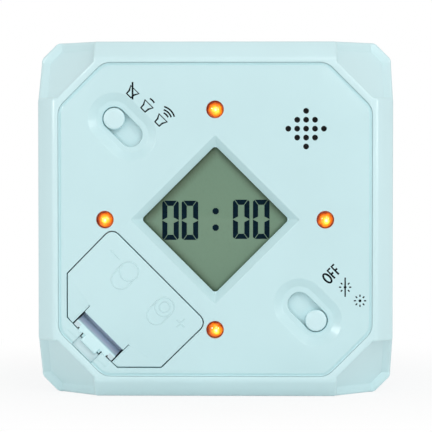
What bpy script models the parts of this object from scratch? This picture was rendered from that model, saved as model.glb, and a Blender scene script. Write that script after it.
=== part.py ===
"""Cube timer: a 60 mm desk timer with a display, two slide switches, four lamps and a battery bay.

Everything is drawn in a face frame: x to the right and y up on the display face, z out of that face,
with the origin at the centre of the cube. Two empties then stand the cube up on its bottom face:
face_frame holds that frame, and diagonal_frame is the same frame turned 45 degrees, because most of
the display face is laid out on the diagonals of the square: its x runs down to the right and its y up
to the right. Sizes are in metres.
"""

import math

import bmesh
import bpy
from mathutils import Matrix, Vector

# Clearances: SEAT between pieces that rest on each other, SLIDE round what slides.
SEAT = 0.0003
SLIDE = 0.0002
OVERRUN = 0.0010
ROOT = 0.0005

# Display cell and its window.
GLASS = 0.0204
GLASS_THICKNESS = 0.0022
GLASS_CLEARANCE = 0.0003
GLASS_FENCE = 0.0010
WINDOW = GLASS - 0.0027
WINDOW_FLARE = 0.00125
WINDOW_FLARE_DEPTH = 0.0014
HOLDER_THICKNESS = 0.0030
HOLDER_OPENING = GLASS - 0.0084
CONNECTOR = (0.0018, GLASS - 0.0028)
CONNECTOR_OFFSET = GLASS / 2 - 0.0017

# Battery bay: two AAA cells side by side, on end behind the cover, which stands below the display cell.
CELL_LENGTH = 0.0445
CELL_RADIUS = 0.00525
CELL_NUB = (0.0019, 0.0010)
CELL_SPACING = 0.0005
CELL_OFFSET = CELL_RADIUS + CELL_SPACING / 2
GLASS_MARGIN = 0.00315
COVER_BORDER = 0.0010
COVER_BORDER_DIAGONAL = 0.00194
COVER_MARGIN = 0.0005
COVER_GAP = 0.0002
COVER_CORNER = 0.0014
COVER_HEIGHT = 2 * CELL_RADIUS + 0.00585
COVER_HALF_WIDTH = CELL_OFFSET + CELL_RADIUS + COVER_MARGIN
COVER_TOP = -GLASS / 2 - GLASS_MARGIN
COVER_BOTTOM = COVER_TOP - COVER_HEIGHT
BAY_CENTRE = COVER_TOP - SEAT - CELL_RADIUS
TONGUE = (0.0030, 0.0012, 0.0010)
TONGUE_OFFSET = COVER_HALF_WIDTH - 0.00425

# Octagonal display panel in the front rim, and the cube, which is as wide as that panel needs.
PANEL_INSET = 0.0041
PANEL_CORNER_CUT = 0.0052
PANEL_CORNER = 0.0025
PANEL_THICKNESS = 0.0020
PANEL_SINK = 0.0001
PANEL_ROUNDING = 0.00015
PANEL_GAP = 0.0005
PANEL_LIP = 0.00045
RIM_WIDTH = 0.0008
RIM_WIDTH_DIAGONAL = 0.0013
LEDGE_WIDTH = 0.0010
LEDGE_THICKNESS = 0.0012
HOOK_WIDTH = 0.0060
HOOK_THICKNESS = 0.0008
HOOK_REACH = 0.0012
HOOK_HEIGHT = 0.0008
PANEL_DIAGONALS = 2 * (COVER_BORDER_DIAGONAL - COVER_BOTTOM)
CUBE = round((PANEL_DIAGONALS + 2 * PANEL_CORNER_CUT) / math.sqrt(2) + 2 * PANEL_INSET, 4)
PANEL_FLATS = CUBE - 2 * PANEL_INSET
COVER_SIDE = PANEL_FLATS / 2 - COVER_BORDER

# Outer form of the cube: six flat faces, twelve 45 degree flanks along its edges and eight corner facets.
FLANK_LEG = PANEL_INSET - PANEL_GAP - RIM_WIDTH
FACET_DEPTH = 0.00842
FACET_INSET = 0.00955
SHELL_WALL = 0.0022
EDGE_ROUNDING = 0.0009
EDGE_STEPS = 3
GROOVE_DEPTH = 0.0005
REAR_STOP = (0.0200, 0.0070)
FLANKS_ACROSS = (CUBE - FLANK_LEG) * math.sqrt(2)
FACETS_ACROSS = CUBE * math.sqrt(3) - 2 * FACET_DEPTH

# Spring latch of the cover, measured up from the cover's lower edge.
LATCH_HALF_WIDTH = 0.0046
SLIT_WIDTH = 0.0003
SPRING_LEG = 0.0007
LATCH_DEPTH = 0.0050
TAB_HALF_WIDTH = 0.00335
TAB_THICKNESS = 0.0010
TAB_SHOULDER = 0.0004
NOSE_HALF_WIDTH = 0.0021
CATCH_DEPTH = 0.0012
CATCH_THICKNESS = 0.0007
NOTCH_HALF_WIDTH = NOSE_HALF_WIDTH + SLIDE
SLIT_TOP = COVER_BOTTOM + 0.0044
CHANNEL_TOP = COVER_BOTTOM + 0.0031
PIVOT = COVER_BOTTOM + 0.0021
TAB_TOP = COVER_BOTTOM + 0.0014
LATCH_LEG_OUTSIDE = TAB_TOP - SPRING_LEG
TAB_BOTTOM = COVER_BOTTOM
NOSE_TIP = COVER_BOTTOM - COVER_GAP
CATCH_TIP = NOSE_TIP - 0.0014

# Slide switches: SWITCH_REST is where each knob stands at rest, out along the diagonal.
SWITCH_INSET = 0.00754
SWITCH_TRAVEL = 0.0039
SWITCH_REST = PANEL_DIAGONALS / 2 - SWITCH_INSET
SLOT_RADIUS = 0.0020
DISH_RADIUS = 0.0044
DISH_FLOOR_RADIUS = 0.0030
DISH_DEPTH = 0.0009
KNOB_SINK = 0.0002
KNOB_PLATE = (0.0058, 0.0012)
KNOB_ROUNDING = 0.0004
SWITCH_CASE = (0.0110, 0.0050, 0.0040)
SWITCH_CASE_WALL = 0.0005
LEVER_POST = 0.0016
LEVER_FOOT = (0.0034, 0.0030, 0.0009)
LEVER_ENTRY = 0.0014
GUIDE = (0.0008, 0.0014)
SWITCH_CENTRE = SWITCH_REST - SWITCH_TRAVEL / 2

# Board behind the panel, and the four bosses that carry it.
BOARD_DEPTH = 0.0084
BOARD_THICKNESS = 0.0016
BOARD_FLATS = PANEL_FLATS - 0.0035
BOARD_DIAGONALS = PANEL_DIAGONALS - 0.0043
BOSS_RADIUS = 0.0022
BOSS_OFFSET = (SWITCH_CENTRE - 0.00475, SWITCH_CASE[1] / 2 + 0.0055)
SCREW_RADIUS = 0.0009
SCREW_LENGTH = 0.0050
SCREW_HEAD_RADIUS = 0.0018
SCREW_HEAD_HEIGHT = 0.0011

# Lamps and the sounder. LAMP_PLACE, in the diagonal frame, clears the battery cover and the display cell.
LAMP_PLACE = (COVER_HALF_WIDTH + 0.0019, GLASS / 2 + 0.00295)
LAMP_RADIUS = 0.00135
LAMP_HOLE_RADIUS = 0.0015
LAMP_HEIGHT = 0.0046
LAMP_FLANGE = (0.0017, 0.0008)
LAMP_LEG = 0.0005
LAMP_LEG_PITCH = 0.0020
SOUNDER_INSET = 0.00994
SOUNDER_OFFSET = PANEL_DIAGONALS / 2 - SOUNDER_INSET
SOUNDER_RADIUS = 0.0060
SOUNDER_HEIGHT = 0.0043
SOUNDER_PORT = 0.0010
GASKET_WALL = 0.0010
SOUND_HOLE_PITCH = 0.0015
SOUND_HOLE_RADIUS = 0.0005
SOUND_HOLE_REACH = 2

# Cradle round the cells, and their contacts.
BAY_CLEARANCE = 0.00025
CRADLE_WALL = 0.0010
CRADLE_FLANGE = 0.0015
CRADLE_FLANGE_LIP = 0.0006
CELL_RIB = (0.0010, 0.0028)
CONTACT_THICKNESS = 0.0004
CONTACT_WIDTH = 0.0040
WIRE_RADIUS = 0.00025
SPRING_TURNS = 3
SPRING_FOOT = CELL_RADIUS * 0.65
SPRING_TIP = CELL_RADIUS * 0.4
COVER_SPRING_HEIGHT = 0.0034
BRIDGE_WIDTH = CELL_RADIUS * 1.3

# Parts on the rear of the board: sizes, then places in the diagonal frame.
BLOB_RADIUS = 0.0050
BLOB_HEIGHT = 0.0014
BLOB_PLACE = (0.0, 0.0030)
SENSOR = (0.0065, 0.0065, 0.0040)
SENSOR_ROUNDING = 0.0004
SENSOR_PLACE = (-BOSS_OFFSET[0] + 0.0055, BOSS_OFFSET[1] + 0.0050)
CRYSTAL_RADIUS = 0.0010
CRYSTAL_LENGTH = 0.0060
CRYSTAL_PLACE = (0.0090, 0.0050)
CAPACITOR_RADIUS = 0.0025
CAPACITOR_HEIGHT = 0.0054
CAPACITOR_GROOVE = 0.0002
CAPACITOR_PLACE = (BOSS_OFFSET[0] - 0.0055, BOSS_OFFSET[1] + 0.0070)

# How finely round shapes are divided.
ROUND = 32
SMALL_ROUND = 16
CORNER_STEPS = 4

# Levels that follow from the sizes, measured along z from the centre of the cube.
FACE = CUBE / 2
PANEL_FACE = FACE - PANEL_SINK
PANEL_BACK = PANEL_FACE - PANEL_THICKNESS
LEDGE_TOP = PANEL_BACK - SEAT
CAVITY_FRONT = LEDGE_TOP - LEDGE_THICKNESS
GLASS_TOP = PANEL_BACK - SEAT
GLASS_BACK = GLASS_TOP - GLASS_THICKNESS
HOLDER_TOP = GLASS_BACK - SEAT
HOLDER_BACK = HOLDER_TOP - HOLDER_THICKNESS
BOARD_FRONT = PANEL_FACE - BOARD_DEPTH
BOARD_BACK = BOARD_FRONT - BOARD_THICKNESS
KNOB_PLATE_TOP = PANEL_BACK - SEAT
KNOB_PLATE_BACK = KNOB_PLATE_TOP - KNOB_PLATE[1]
FLANGE_TOP = PANEL_BACK - SEAT
FLANGE_BACK = FLANGE_TOP - CRADLE_FLANGE
BRIDGE_TOP = PANEL_BACK - SEAT
BRIDGE_BACK = BRIDGE_TOP - CONTACT_THICKNESS
RIGHT_CELL_TOP = BRIDGE_BACK - SEAT
RIGHT_CELL_BACK = RIGHT_CELL_TOP - CELL_LENGTH
LEFT_CELL_TOP = BRIDGE_BACK - SEAT - COVER_SPRING_HEIGHT - SEAT
LEFT_CELL_BACK = LEFT_CELL_TOP - CELL_LENGTH
STRIP_TOP = LEFT_CELL_BACK - SEAT
STRIP_BACK = STRIP_TOP - CONTACT_THICKNESS
CRADLE_FLOOR = STRIP_BACK - SEAT
CRADLE_BACK = CRADLE_FLOOR - CRADLE_WALL
BAY_RADIUS = CELL_RADIUS + BAY_CLEARANCE
CRADLE_RADIUS = BAY_RADIUS + CRADLE_WALL
KNOB_RADIUS = SLOT_RADIUS - SLIDE
BOSS_PLACES = [(u * BOSS_OFFSET[0], v * BOSS_OFFSET[1]) for v in (1, -1) for u in (-1, 1)]

PARTS = "cube_timer"
CUTTERS = "cutters"

# Ways to lay a flat outline: its x, y and its thickness go along these axes of the frame.
FLAT = Matrix.Identity(3)
ALONG_X = Matrix(((0, 0, 1), (1, 0, 0), (0, 1, 0)))


def clear_scene():
    for obj in list(bpy.data.objects):
        bpy.data.objects.remove(obj, do_unlink=True)
    for name in (PARTS, CUTTERS):
        bpy.context.scene.collection.children.link(bpy.data.collections.new(name))


def empty(name, parent, turn):
    frame = bpy.data.objects.new(name, None)
    bpy.data.collections[PARTS].objects.link(frame)
    frame.parent = parent
    frame.rotation_euler = turn
    return frame


def plastic(name, colour, roughness, metallic=0.0):
    material = bpy.data.materials.new(name)
    material.use_nodes = True
    shader = material.node_tree.nodes["Principled BSDF"]
    shader.inputs["Base Color"].default_value = (*colour, 1.0)
    shader.inputs["Roughness"].default_value = roughness
    shader.inputs["Metallic"].default_value = metallic
    material.diffuse_color = (*colour, 1.0)
    return material


def place(name, mesh, frame, material=None, at=(0, 0, 0)):
    """An object in the parts collection, or among the cutters when it has no material."""
    obj = bpy.data.objects.new(name, mesh)
    bpy.data.collections[PARTS if material else CUTTERS].objects.link(obj)
    obj.parent = frame
    obj.location = at
    if material:
        obj.data.materials.append(material)
    else:
        obj.hide_render = True
        obj.display_type = "WIRE"
    bpy.context.view_layer.update()
    return obj


def mesh_of(bm):
    mesh = bpy.data.meshes.new("shape")
    bm.to_mesh(mesh)
    bm.free()
    return mesh


def joined(*shapes):
    """One mesh of several loose bodies."""
    bm = bmesh.new()
    for shape in shapes:
        bm.from_mesh(shape)
    return mesh_of(bm)


def moved(shape, offset=(0, 0, 0), turn=None):
    copy = shape.copy()
    matrix = Matrix.Translation(offset)
    copy.transform(matrix @ turn.to_4x4() if turn else matrix)
    return copy


def block(size, centre=(0, 0, 0), rounding=0.0):
    bm = bmesh.new()
    bmesh.ops.create_cube(bm, size=1.0)
    bmesh.ops.scale(bm, vec=size, verts=bm.verts)
    if rounding:
        bmesh.ops.bevel(bm, geom=bm.edges[:], offset=rounding, segments=1, affect="EDGES")
    bmesh.ops.translate(bm, vec=centre, verts=bm.verts)
    return mesh_of(bm)


def stadium(radius, bottom, top, stretch=0.0, top_radius=None, sides=ROUND, centre=(0, 0), rounding=0.0):
    """A round bar, or a bar with straight sides when its two halves are pulled apart along x."""
    bm = bmesh.new()
    bmesh.ops.create_cone(
        bm,
        cap_ends=True,
        segments=sides,
        radius1=radius,
        radius2=radius if top_radius is None else top_radius,
        depth=top - bottom,
    )
    bmesh.ops.rotate(bm, verts=bm.verts, matrix=Matrix.Rotation(math.pi / sides, 3, "Z"))
    for vert in bm.verts:
        vert.co.x += math.copysign(stretch / 2, vert.co.x)
    if rounding:
        rim = [e for e in bm.edges if all(v.co.z > 0 for v in e.verts)]
        bmesh.ops.bevel(bm, geom=rim, offset=rounding, segments=2, profile=0.5, affect="EDGES")
    bmesh.ops.translate(bm, vec=(*centre, (top + bottom) / 2), verts=bm.verts)
    return mesh_of(bm)


def rounded(corners, radius, steps=CORNER_STEPS):
    """A convex outline with corners turned into arcs, of one radius or of one each. At 0 they stay sharp."""
    outline = []
    count = len(corners)
    radii = radius if isinstance(radius, list) else [radius] * count
    for i, corner in enumerate(corners):
        radius = radii[i]
        if not radius:
            outline.append(Vector(corner))
            continue
        here = Vector(corner)
        back = (Vector(corners[i - 1]) - here).normalized()
        ahead = (Vector(corners[(i + 1) % count]) - here).normalized()
        half = back.angle(ahead) / 2
        centre = here + (back + ahead).normalized() * radius / math.sin(half)
        start = here + back * radius / math.tan(half) - centre
        sweep = math.pi - 2 * half
        for step in range(steps + 1):
            outline.append(centre + Matrix.Rotation(sweep * step / steps, 2) @ start)
    return outline


def octagon(flats, diagonals, radius):
    """Corners counter-clockwise, from the width across x and y and the width across the cut corners."""
    half = flats / 2
    cut = diagonals / math.sqrt(2) - half
    quarter = [(half, -cut), (half, cut)]
    corners = [Matrix.Rotation(math.pi / 2 * k, 2) @ Vector(p) for k in range(4) for p in quarter]
    return rounded(corners, radius)


def rectangle(width, height, centre=(0, 0)):
    x, y = centre
    return [(x + i * width / 2, y + j * height / 2) for i, j in ((-1, -1), (1, -1), (1, 1), (-1, 1))]


def sheet(loops, bottom, top, lie=FLAT):
    """A flat outline, with holes where it has inner loops, thickened from bottom to top."""
    curve = bpy.data.curves.new("outline", "CURVE")
    curve.dimensions = "2D"
    curve.fill_mode = "BOTH"
    curve.extrude = (top - bottom) / 2
    for loop in loops:
        spline = curve.splines.new("POLY")
        spline.points.add(len(loop) - 1)
        for point, (x, y) in zip(spline.points, loop):
            point.co = (x, y, 0, 1)
        spline.use_cyclic_u = True
    holder = bpy.data.objects.new("outline", curve)
    bpy.context.scene.collection.objects.link(holder)
    graph = bpy.context.evaluated_depsgraph_get()
    mesh = bpy.data.meshes.new_from_object(holder.evaluated_get(graph))
    bpy.data.objects.remove(holder)
    bm = bmesh.new()
    bm.from_mesh(mesh)
    bmesh.ops.remove_doubles(bm, verts=bm.verts, dist=0.000001)
    bmesh.ops.dissolve_limit(bm, angle_limit=0.001, verts=bm.verts, edges=bm.edges)
    bmesh.ops.recalc_face_normals(bm, faces=bm.faces)
    bmesh.ops.translate(bm, vec=(0, 0, (top + bottom) / 2), verts=bm.verts)
    bmesh.ops.rotate(bm, verts=bm.verts, matrix=lie)
    return mesh_of(bm)


def turned(name, profile, frame, material, steps=ROUND):
    """A profile of (radius, z), from the top down its outer side, turned about z."""
    mesh = bpy.data.meshes.new(name)
    mesh.from_pydata([(r, 0, z) for r, z in profile], [(i, i + 1) for i in range(len(profile) - 1)], [])
    obj = place(name, mesh, frame, material)
    screw = obj.modifiers.new("turn", "SCREW")
    screw.steps = screw.render_steps = steps
    screw.use_merge_vertices = True
    screw.merge_threshold = 0.00001
    return obj


def combine(obj, shape, frame, operation):
    tool = place(f"{obj.name}_{operation.lower()}_{len(obj.modifiers)}", shape, frame)
    boolean = obj.modifiers.new(tool.name, "BOOLEAN")
    boolean.operation = operation
    boolean.object = tool


def cut(obj, shape, frame):
    combine(obj, shape, frame, "DIFFERENCE")


def add(obj, shape, frame):
    combine(obj, shape, frame, "UNION")


def settle(obj):
    """Applies the modifiers so far and joins faces that lie in one plane."""
    graph = bpy.context.evaluated_depsgraph_get()
    mesh = bpy.data.meshes.new_from_object(obj.evaluated_get(graph))
    obj.modifiers.clear()
    obj.data = mesh
    bm = bmesh.new()
    bm.from_mesh(mesh)
    bmesh.ops.remove_doubles(bm, verts=bm.verts, dist=0.000002)
    bmesh.ops.dissolve_limit(bm, angle_limit=0.002, verts=bm.verts, edges=bm.edges)
    bm.to_mesh(mesh)
    bm.free()


def round_outer_edges(obj, width, steps, chosen=None):
    """Rounds the edges that stand out, and leaves the inner corners sharp."""
    bm = bmesh.new()
    bm.from_mesh(obj.data)
    sharp = math.radians(20)
    edges = [edge for edge in bm.edges if edge.is_manifold and edge.calc_face_angle_signed() > sharp]
    if chosen:
        edges = [edge for edge in edges if chosen(edge)]
    bmesh.ops.bevel(
        bm, geom=edges, offset=width, segments=steps, profile=0.5, affect="EDGES", clamp_overlap=True
    )
    bm.to_mesh(obj.data)
    bm.free()


def smooth(obj):
    """Round sides shade smoothly and corners stay sharp. Modifiers are applied before that."""
    settle(obj)
    obj.data.shade_smooth()
    obj.data.set_sharp_from_angle(angle=math.radians(30))


def six_ways(shape, distance):
    """Copies of a shape that looks along +z, moved out to all six faces."""
    turns = [Matrix.Rotation(math.pi / 2 * k, 3, "Y") for k in range(4)]
    turns += [Matrix.Rotation(math.pi / 2 * k, 3, "X") for k in (1, 3)]
    return [moved(shape, turn @ Vector((0, 0, distance)), turn) for turn in turns]


def corner_pocket():
    """What is cut away over one corner facet: a cube whose three inner edges and inner point are cut off."""
    inner = CUBE / 2 - FACET_INSET
    outer = CUBE / 2 + 4 * OVERRUN
    rim = (PANEL_DIAGONALS / 2 + PANEL_GAP + RIM_WIDTH_DIAGONAL) * math.sqrt(2)
    bm = bmesh.new()
    bmesh.ops.create_cube(bm, size=outer - inner)
    middle = (outer + inner) / 2
    bmesh.ops.translate(bm, vec=(middle, middle, middle), verts=bm.verts)
    point = min(bm.verts, key=lambda v: v.co.length)
    bmesh.ops.bevel(bm, geom=list(point.link_edges), offset=rim - 2 * inner, segments=1, affect="EDGES")
    facet = Vector((1, 1, 1)).normalized()
    cap = bmesh.ops.bisect_plane(
        bm,
        geom=bm.verts[:] + bm.edges[:] + bm.faces[:],
        plane_co=facet * FACETS_ACROSS / 2,
        plane_no=facet,
        clear_inner=True,
    )
    rim_of_cut = [piece for piece in cap["geom_cut"] if isinstance(piece, bmesh.types.BMEdge)]
    bmesh.ops.contextual_create(bm, geom=rim_of_cut)
    bmesh.ops.recalc_face_normals(bm, faces=bm.faces)
    return mesh_of(bm)


def eight_corners(shape):
    """The shape and its mirror images in the three middle planes of the cube."""
    copies = []
    for signs in [(x, y, z) for x in (1, -1) for y in (1, -1) for z in (1, -1)]:
        bm = bmesh.new()
        bm.from_mesh(shape)
        bmesh.ops.scale(bm, vec=signs, verts=bm.verts)
        if math.prod(signs) < 0:
            bmesh.ops.reverse_faces(bm, faces=bm.faces)
        copies.append(mesh_of(bm))
    return copies


def chamfered_cube(half, flank, facet=None):
    """A cube with 45 degree flanks, and with its corners cut off where a facet distance is given."""
    bm = bmesh.new()
    bmesh.ops.create_cube(bm, size=2 * half)
    leg = 2 * half - flank * math.sqrt(2)
    bmesh.ops.bevel(bm, geom=bm.edges[:], offset=leg, segments=1, affect="EDGES")
    for corner in [(x, y, z) for x in (1, -1) for y in (1, -1) for z in (1, -1)] if facet else []:
        out = Vector(corner).normalized()
        whole = bm.verts[:] + bm.edges[:] + bm.faces[:]
        cap = bmesh.ops.bisect_plane(
            bm, geom=whole, plane_co=out * facet, plane_no=out, clear_outer=True
        )
        rim = [piece for piece in cap["geom_cut"] if isinstance(piece, bmesh.types.BMEdge)]
        bmesh.ops.contextual_create(bm, geom=rim)
    bmesh.ops.recalc_face_normals(bm, faces=bm.faces)
    return mesh_of(bm)


def panel_outline(grow=0.0, grow_diagonal=None):
    """The octagon of the panel, grown by so much on each flat side and on each diagonal side."""
    diagonal = grow if grow_diagonal is None else grow_diagonal
    radius = max(PANEL_CORNER + grow, PANEL_CORNER / 2)
    return octagon(PANEL_FLATS + 2 * grow, PANEL_DIAGONALS + 2 * diagonal, radius)


def make_cube_shell(frame, diagonal, material):
    shell = place("cube_shell", chamfered_cube(CUBE / 2, FLANKS_ACROSS / 2), frame, material)
    cut(shell, joined(*eight_corners(corner_pocket())), frame)
    settle(shell)
    round_outer_edges(shell, EDGE_ROUNDING, EDGE_STEPS)

    cavity_half = CUBE / 2 - SHELL_WALL
    cavity = chamfered_cube(
        cavity_half,
        FLANKS_ACROSS / 2 - SHELL_WALL,
        FACETS_ACROSS / 2 - SHELL_WALL,
    )
    hollow = place("cavity", cavity, frame)
    stop_height = CRADLE_BACK - SEAT + cavity_half
    boss = block(
        (REAR_STOP[0], REAR_STOP[1], stop_height + OVERRUN),
        (0, BAY_CENTRE, -cavity_half + (stop_height - OVERRUN) / 2),
    )
    cut(hollow, boss, diagonal)
    front_slab = block((CUBE, CUBE, CUBE), (0, 0, CAVITY_FRONT + CUBE / 2))
    cut(hollow, front_slab, frame)
    settle(hollow)
    boolean = shell.modifiers.new("hollow", "BOOLEAN")
    boolean.object = hollow

    opening = sheet([panel_outline(PANEL_GAP)], LEDGE_TOP, FACE + OVERRUN)
    cut(shell, opening, frame)
    throat = sheet([panel_outline(-LEDGE_WIDTH)], CAVITY_FRONT - OVERRUN, LEDGE_TOP + OVERRUN)
    cut(shell, throat, frame)
    groove = sheet([panel_outline(PANEL_GAP), panel_outline()], -GROOVE_DEPTH, OVERRUN)
    cut(shell, joined(*six_ways(groove, CUBE / 2)[1:]), frame)
    smooth(shell)
    return shell


def cover_outline(grow=0.0):
    """The battery cover in the diagonal frame: a house shape that points to the corner of the cube."""
    half = COVER_HALF_WIDTH + grow
    top = COVER_TOP + grow
    bottom = COVER_BOTTOM - grow
    side = COVER_SIDE * math.sqrt(2) + grow * math.sqrt(2)
    corners = [
        (-half, top),
        (-half, half - side),
        (-side - bottom, bottom),
        (side + bottom, bottom),
        (half, half - side),
        (half, top),
    ]
    corner = COVER_CORNER + grow
    return rounded(corners, [corner, 0, 0, 0, 0, corner])


def sound_holes():
    """A diamond of holes, square to the face, drawn in the diagonal frame."""
    reach = range(-SOUND_HOLE_REACH, SOUND_HOLE_REACH + 1)
    step = SOUND_HOLE_PITCH / math.sqrt(2)
    steps = [(i, j) for i in reach for j in reach if abs(i) + abs(j) <= SOUND_HOLE_REACH]
    return [((i - j) * step, SOUNDER_OFFSET + (i + j) * step) for i, j in steps]


def panel_cuts():
    """All that goes right through the panel, in the diagonal frame."""
    low, high = PANEL_BACK - OVERRUN, PANEL_FACE + OVERRUN
    cuts = [sheet([rounded(rectangle(WINDOW, WINDOW), PANEL_CORNER / 4)], low, high)]
    cuts.append(sheet([cover_outline(COVER_GAP)], low, high))
    for side in (-1, 1):
        centre = (side * SWITCH_CENTRE, 0)
        cuts.append(stadium(SLOT_RADIUS, low, high, SWITCH_TRAVEL, centre=centre))
    for x, y in lamp_places().values():
        cuts.append(stadium(LAMP_HOLE_RADIUS, low, high, sides=SMALL_ROUND + 8, centre=(x, y)))
    for x, y in sound_holes():
        cuts.append(stadium(SOUND_HOLE_RADIUS, low, high, sides=SMALL_ROUND - 4, centre=(x, y)))
    return cuts


def lamp_places():
    """The four lamps in the diagonal frame."""
    u, v = LAMP_PLACE
    return {"led_top": (-u, v), "led_left": (-u, -v), "led_right": (u, v), "led_bottom": (u, -v)}


def panel_supports():
    """Everything that stands on the back of the panel, in the diagonal frame."""
    top = PANEL_BACK + ROOT
    fence_inside = GLASS + 2 * GLASS_CLEARANCE
    fence_outside = fence_inside + 2 * GLASS_FENCE
    loops = [rectangle(fence_outside, fence_outside), rectangle(fence_inside, fence_inside)]
    supports = [sheet(loops, HOLDER_TOP - SEAT, top)]
    low = BOARD_FRONT + SEAT
    for place_at in BOSS_PLACES:
        supports.append(stadium(BOSS_RADIUS, low, top, sides=SMALL_ROUND + 8, centre=place_at))
    guide_height = GUIDE[1] + ROOT
    guide_side = KNOB_PLATE[0] / 2 + SLIDE + GUIDE[0] / 2
    guide_length = SWITCH_TRAVEL + 2 * SLOT_RADIUS
    for side in (-1, 1):
        for edge in (-1, 1):
            centre = (side * SWITCH_CENTRE, edge * guide_side, top - guide_height / 2)
            supports.append(block((guide_length, GUIDE[0], guide_height), centre))
    return supports


def snap_hook():
    """The section of one snap hook, which reaches under the ledge of the shell, drawn for the +x side."""
    ledge_inside = PANEL_FLATS / 2 - LEDGE_WIDTH
    outside = ledge_inside - SEAT
    inside = outside - HOOK_THICKNESS
    under = CAVITY_FRONT - SEAT
    section = [
        (inside, PANEL_BACK + ROOT),
        (inside, under - 2 * HOOK_HEIGHT),
        (outside, under - 2 * HOOK_HEIGHT),
        (outside + HOOK_REACH, under - HOOK_HEIGHT / 2),
        (outside + HOOK_REACH, under),
        (outside, under),
        (outside, PANEL_BACK + ROOT),
    ]
    upright = Matrix(((1, 0, 0), (0, 0, -1), (0, 1, 0)))
    return sheet([section], -HOOK_WIDTH / 2, HOOK_WIDTH / 2, upright)


def make_display_panel(frame, diagonal, material):
    plate = sheet([panel_outline()], PANEL_BACK, PANEL_FACE)
    panel = place("display_panel", plate, frame, material)

    def at_the_front(edge):
        return all(v.co.z > PANEL_BACK + ROOT for v in edge.verts)

    round_outer_edges(panel, PANEL_ROUNDING, 2, at_the_front)
    lip = sheet([panel_outline(PANEL_LIP)], PANEL_BACK, FACE - GROOVE_DEPTH)
    add(panel, lip, frame)
    hooks = [moved(snap_hook(), turn=Matrix.Rotation(math.pi / 2 * k, 3, "Z")) for k in range(4)]
    add(panel, joined(*hooks), frame)
    add(panel, joined(*panel_supports()), diagonal)
    cut(panel, joined(*panel_cuts()), diagonal)
    dishes = [
        stadium(
            DISH_FLOOR_RADIUS,
            PANEL_FACE - DISH_DEPTH,
            PANEL_FACE + DISH_DEPTH,
            SWITCH_TRAVEL,
            2 * DISH_RADIUS - DISH_FLOOR_RADIUS,
            centre=(side * SWITCH_CENTRE, 0),
        )
        for side in (-1, 1)
    ]
    flare_bottom = WINDOW / math.sqrt(2)
    flare_top = flare_bottom + 2 * WINDOW_FLARE * math.sqrt(2)
    low, high = PANEL_FACE - WINDOW_FLARE_DEPTH, PANEL_FACE + WINDOW_FLARE_DEPTH
    flare = stadium(flare_bottom, low, high, top_radius=flare_top, sides=4)
    cut(panel, joined(flare, *dishes), diagonal)
    notch_top = COVER_BOTTOM
    notch_bottom = -PANEL_DIAGONALS / 2 - OVERRUN
    notch = block(
        (2 * NOTCH_HALF_WIDTH, notch_top - notch_bottom, PANEL_THICKNESS + 2 * OVERRUN),
        (0, (notch_top + notch_bottom) / 2, (PANEL_FACE + PANEL_BACK) / 2),
    )
    cut(panel, notch, diagonal)
    pilots = [
        stadium(
            SCREW_RADIUS + SLIDE,
            BOARD_BACK - OVERRUN,
            BOARD_BACK + SCREW_LENGTH + OVERRUN / 2,
            sides=SMALL_ROUND,
            centre=place_at,
        )
        for place_at in BOSS_PLACES
    ]
    cut(panel, joined(*pilots), diagonal)
    smooth(panel)
    return panel


def cover_section(points):
    """Points (y, depth below the face) in the diagonal frame, as (y, z) about the hinge of the cover."""
    return [(y - COVER_TOP, -depth) for y, depth in points]


def strip_along_x(points, half_width):
    return sheet([points], -half_width, half_width, ALONG_X)


def make_battery_cover(diagonal, material):
    """The cover is drawn about its hinge: the front of its long edge, where its two tongues turn."""
    hinge = (0, COVER_TOP, PANEL_FACE)
    outline = [(x, y - COVER_TOP) for x, y in cover_outline()]
    cover = place("battery_cover", sheet([outline], -PANEL_THICKNESS, 0), diagonal, material, hinge)
    cut_half = LATCH_HALF_WIDTH + SLIT_WIDTH
    low = COVER_BOTTOM - OVERRUN
    slits = [
        (-cut_half, low),
        (cut_half, low),
        (cut_half, SLIT_TOP),
        (LATCH_HALF_WIDTH, SLIT_TOP),
        (LATCH_HALF_WIDTH, CHANNEL_TOP),
        (-LATCH_HALF_WIDTH, CHANNEL_TOP),
        (-LATCH_HALF_WIDTH, SLIT_TOP),
        (-cut_half, SLIT_TOP),
    ]
    gap = sheet([[(x, y - COVER_TOP) for x, y in slits]], -PANEL_THICKNESS - OVERRUN, OVERRUN)
    cut(cover, moved(gap, hinge), diagonal)
    leg = cover_section(
        [
            (CHANNEL_TOP + SPRING_LEG, PANEL_THICKNESS / 2),
            (CHANNEL_TOP, PANEL_THICKNESS / 2),
            (CHANNEL_TOP, LATCH_DEPTH - SPRING_LEG),
            (PIVOT + SEAT, LATCH_DEPTH - SPRING_LEG),
            (PIVOT + SEAT, LATCH_DEPTH),
            (CHANNEL_TOP + SPRING_LEG / 2, LATCH_DEPTH),
            (CHANNEL_TOP + SPRING_LEG, LATCH_DEPTH - SPRING_LEG / 2),
        ]
    )
    leg = moved(strip_along_x(leg, LATCH_HALF_WIDTH - SLIT_WIDTH / 2), hinge)
    tongue_top = PANEL_THICKNESS + SEAT
    tongue_bottom = tongue_top + TONGUE[2]
    tongue = cover_section(
        [
            (COVER_TOP, PANEL_THICKNESS / 2),
            (COVER_TOP - 1.5 * TONGUE[2], PANEL_THICKNESS / 2),
            (COVER_TOP - 1.5 * TONGUE[2], tongue_bottom),
            (COVER_TOP + TONGUE[1], tongue_bottom),
            (COVER_TOP + TONGUE[1], tongue_top),
            (COVER_TOP, tongue_top),
        ]
    )
    tongue = strip_along_x(tongue, TONGUE[0] / 2)
    tongues = [moved(tongue, (side * TONGUE_OFFSET, COVER_TOP, PANEL_FACE)) for side in (-1, 1)]
    add(cover, joined(leg, *tongues), diagonal)
    smooth(cover)
    return cover


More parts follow.
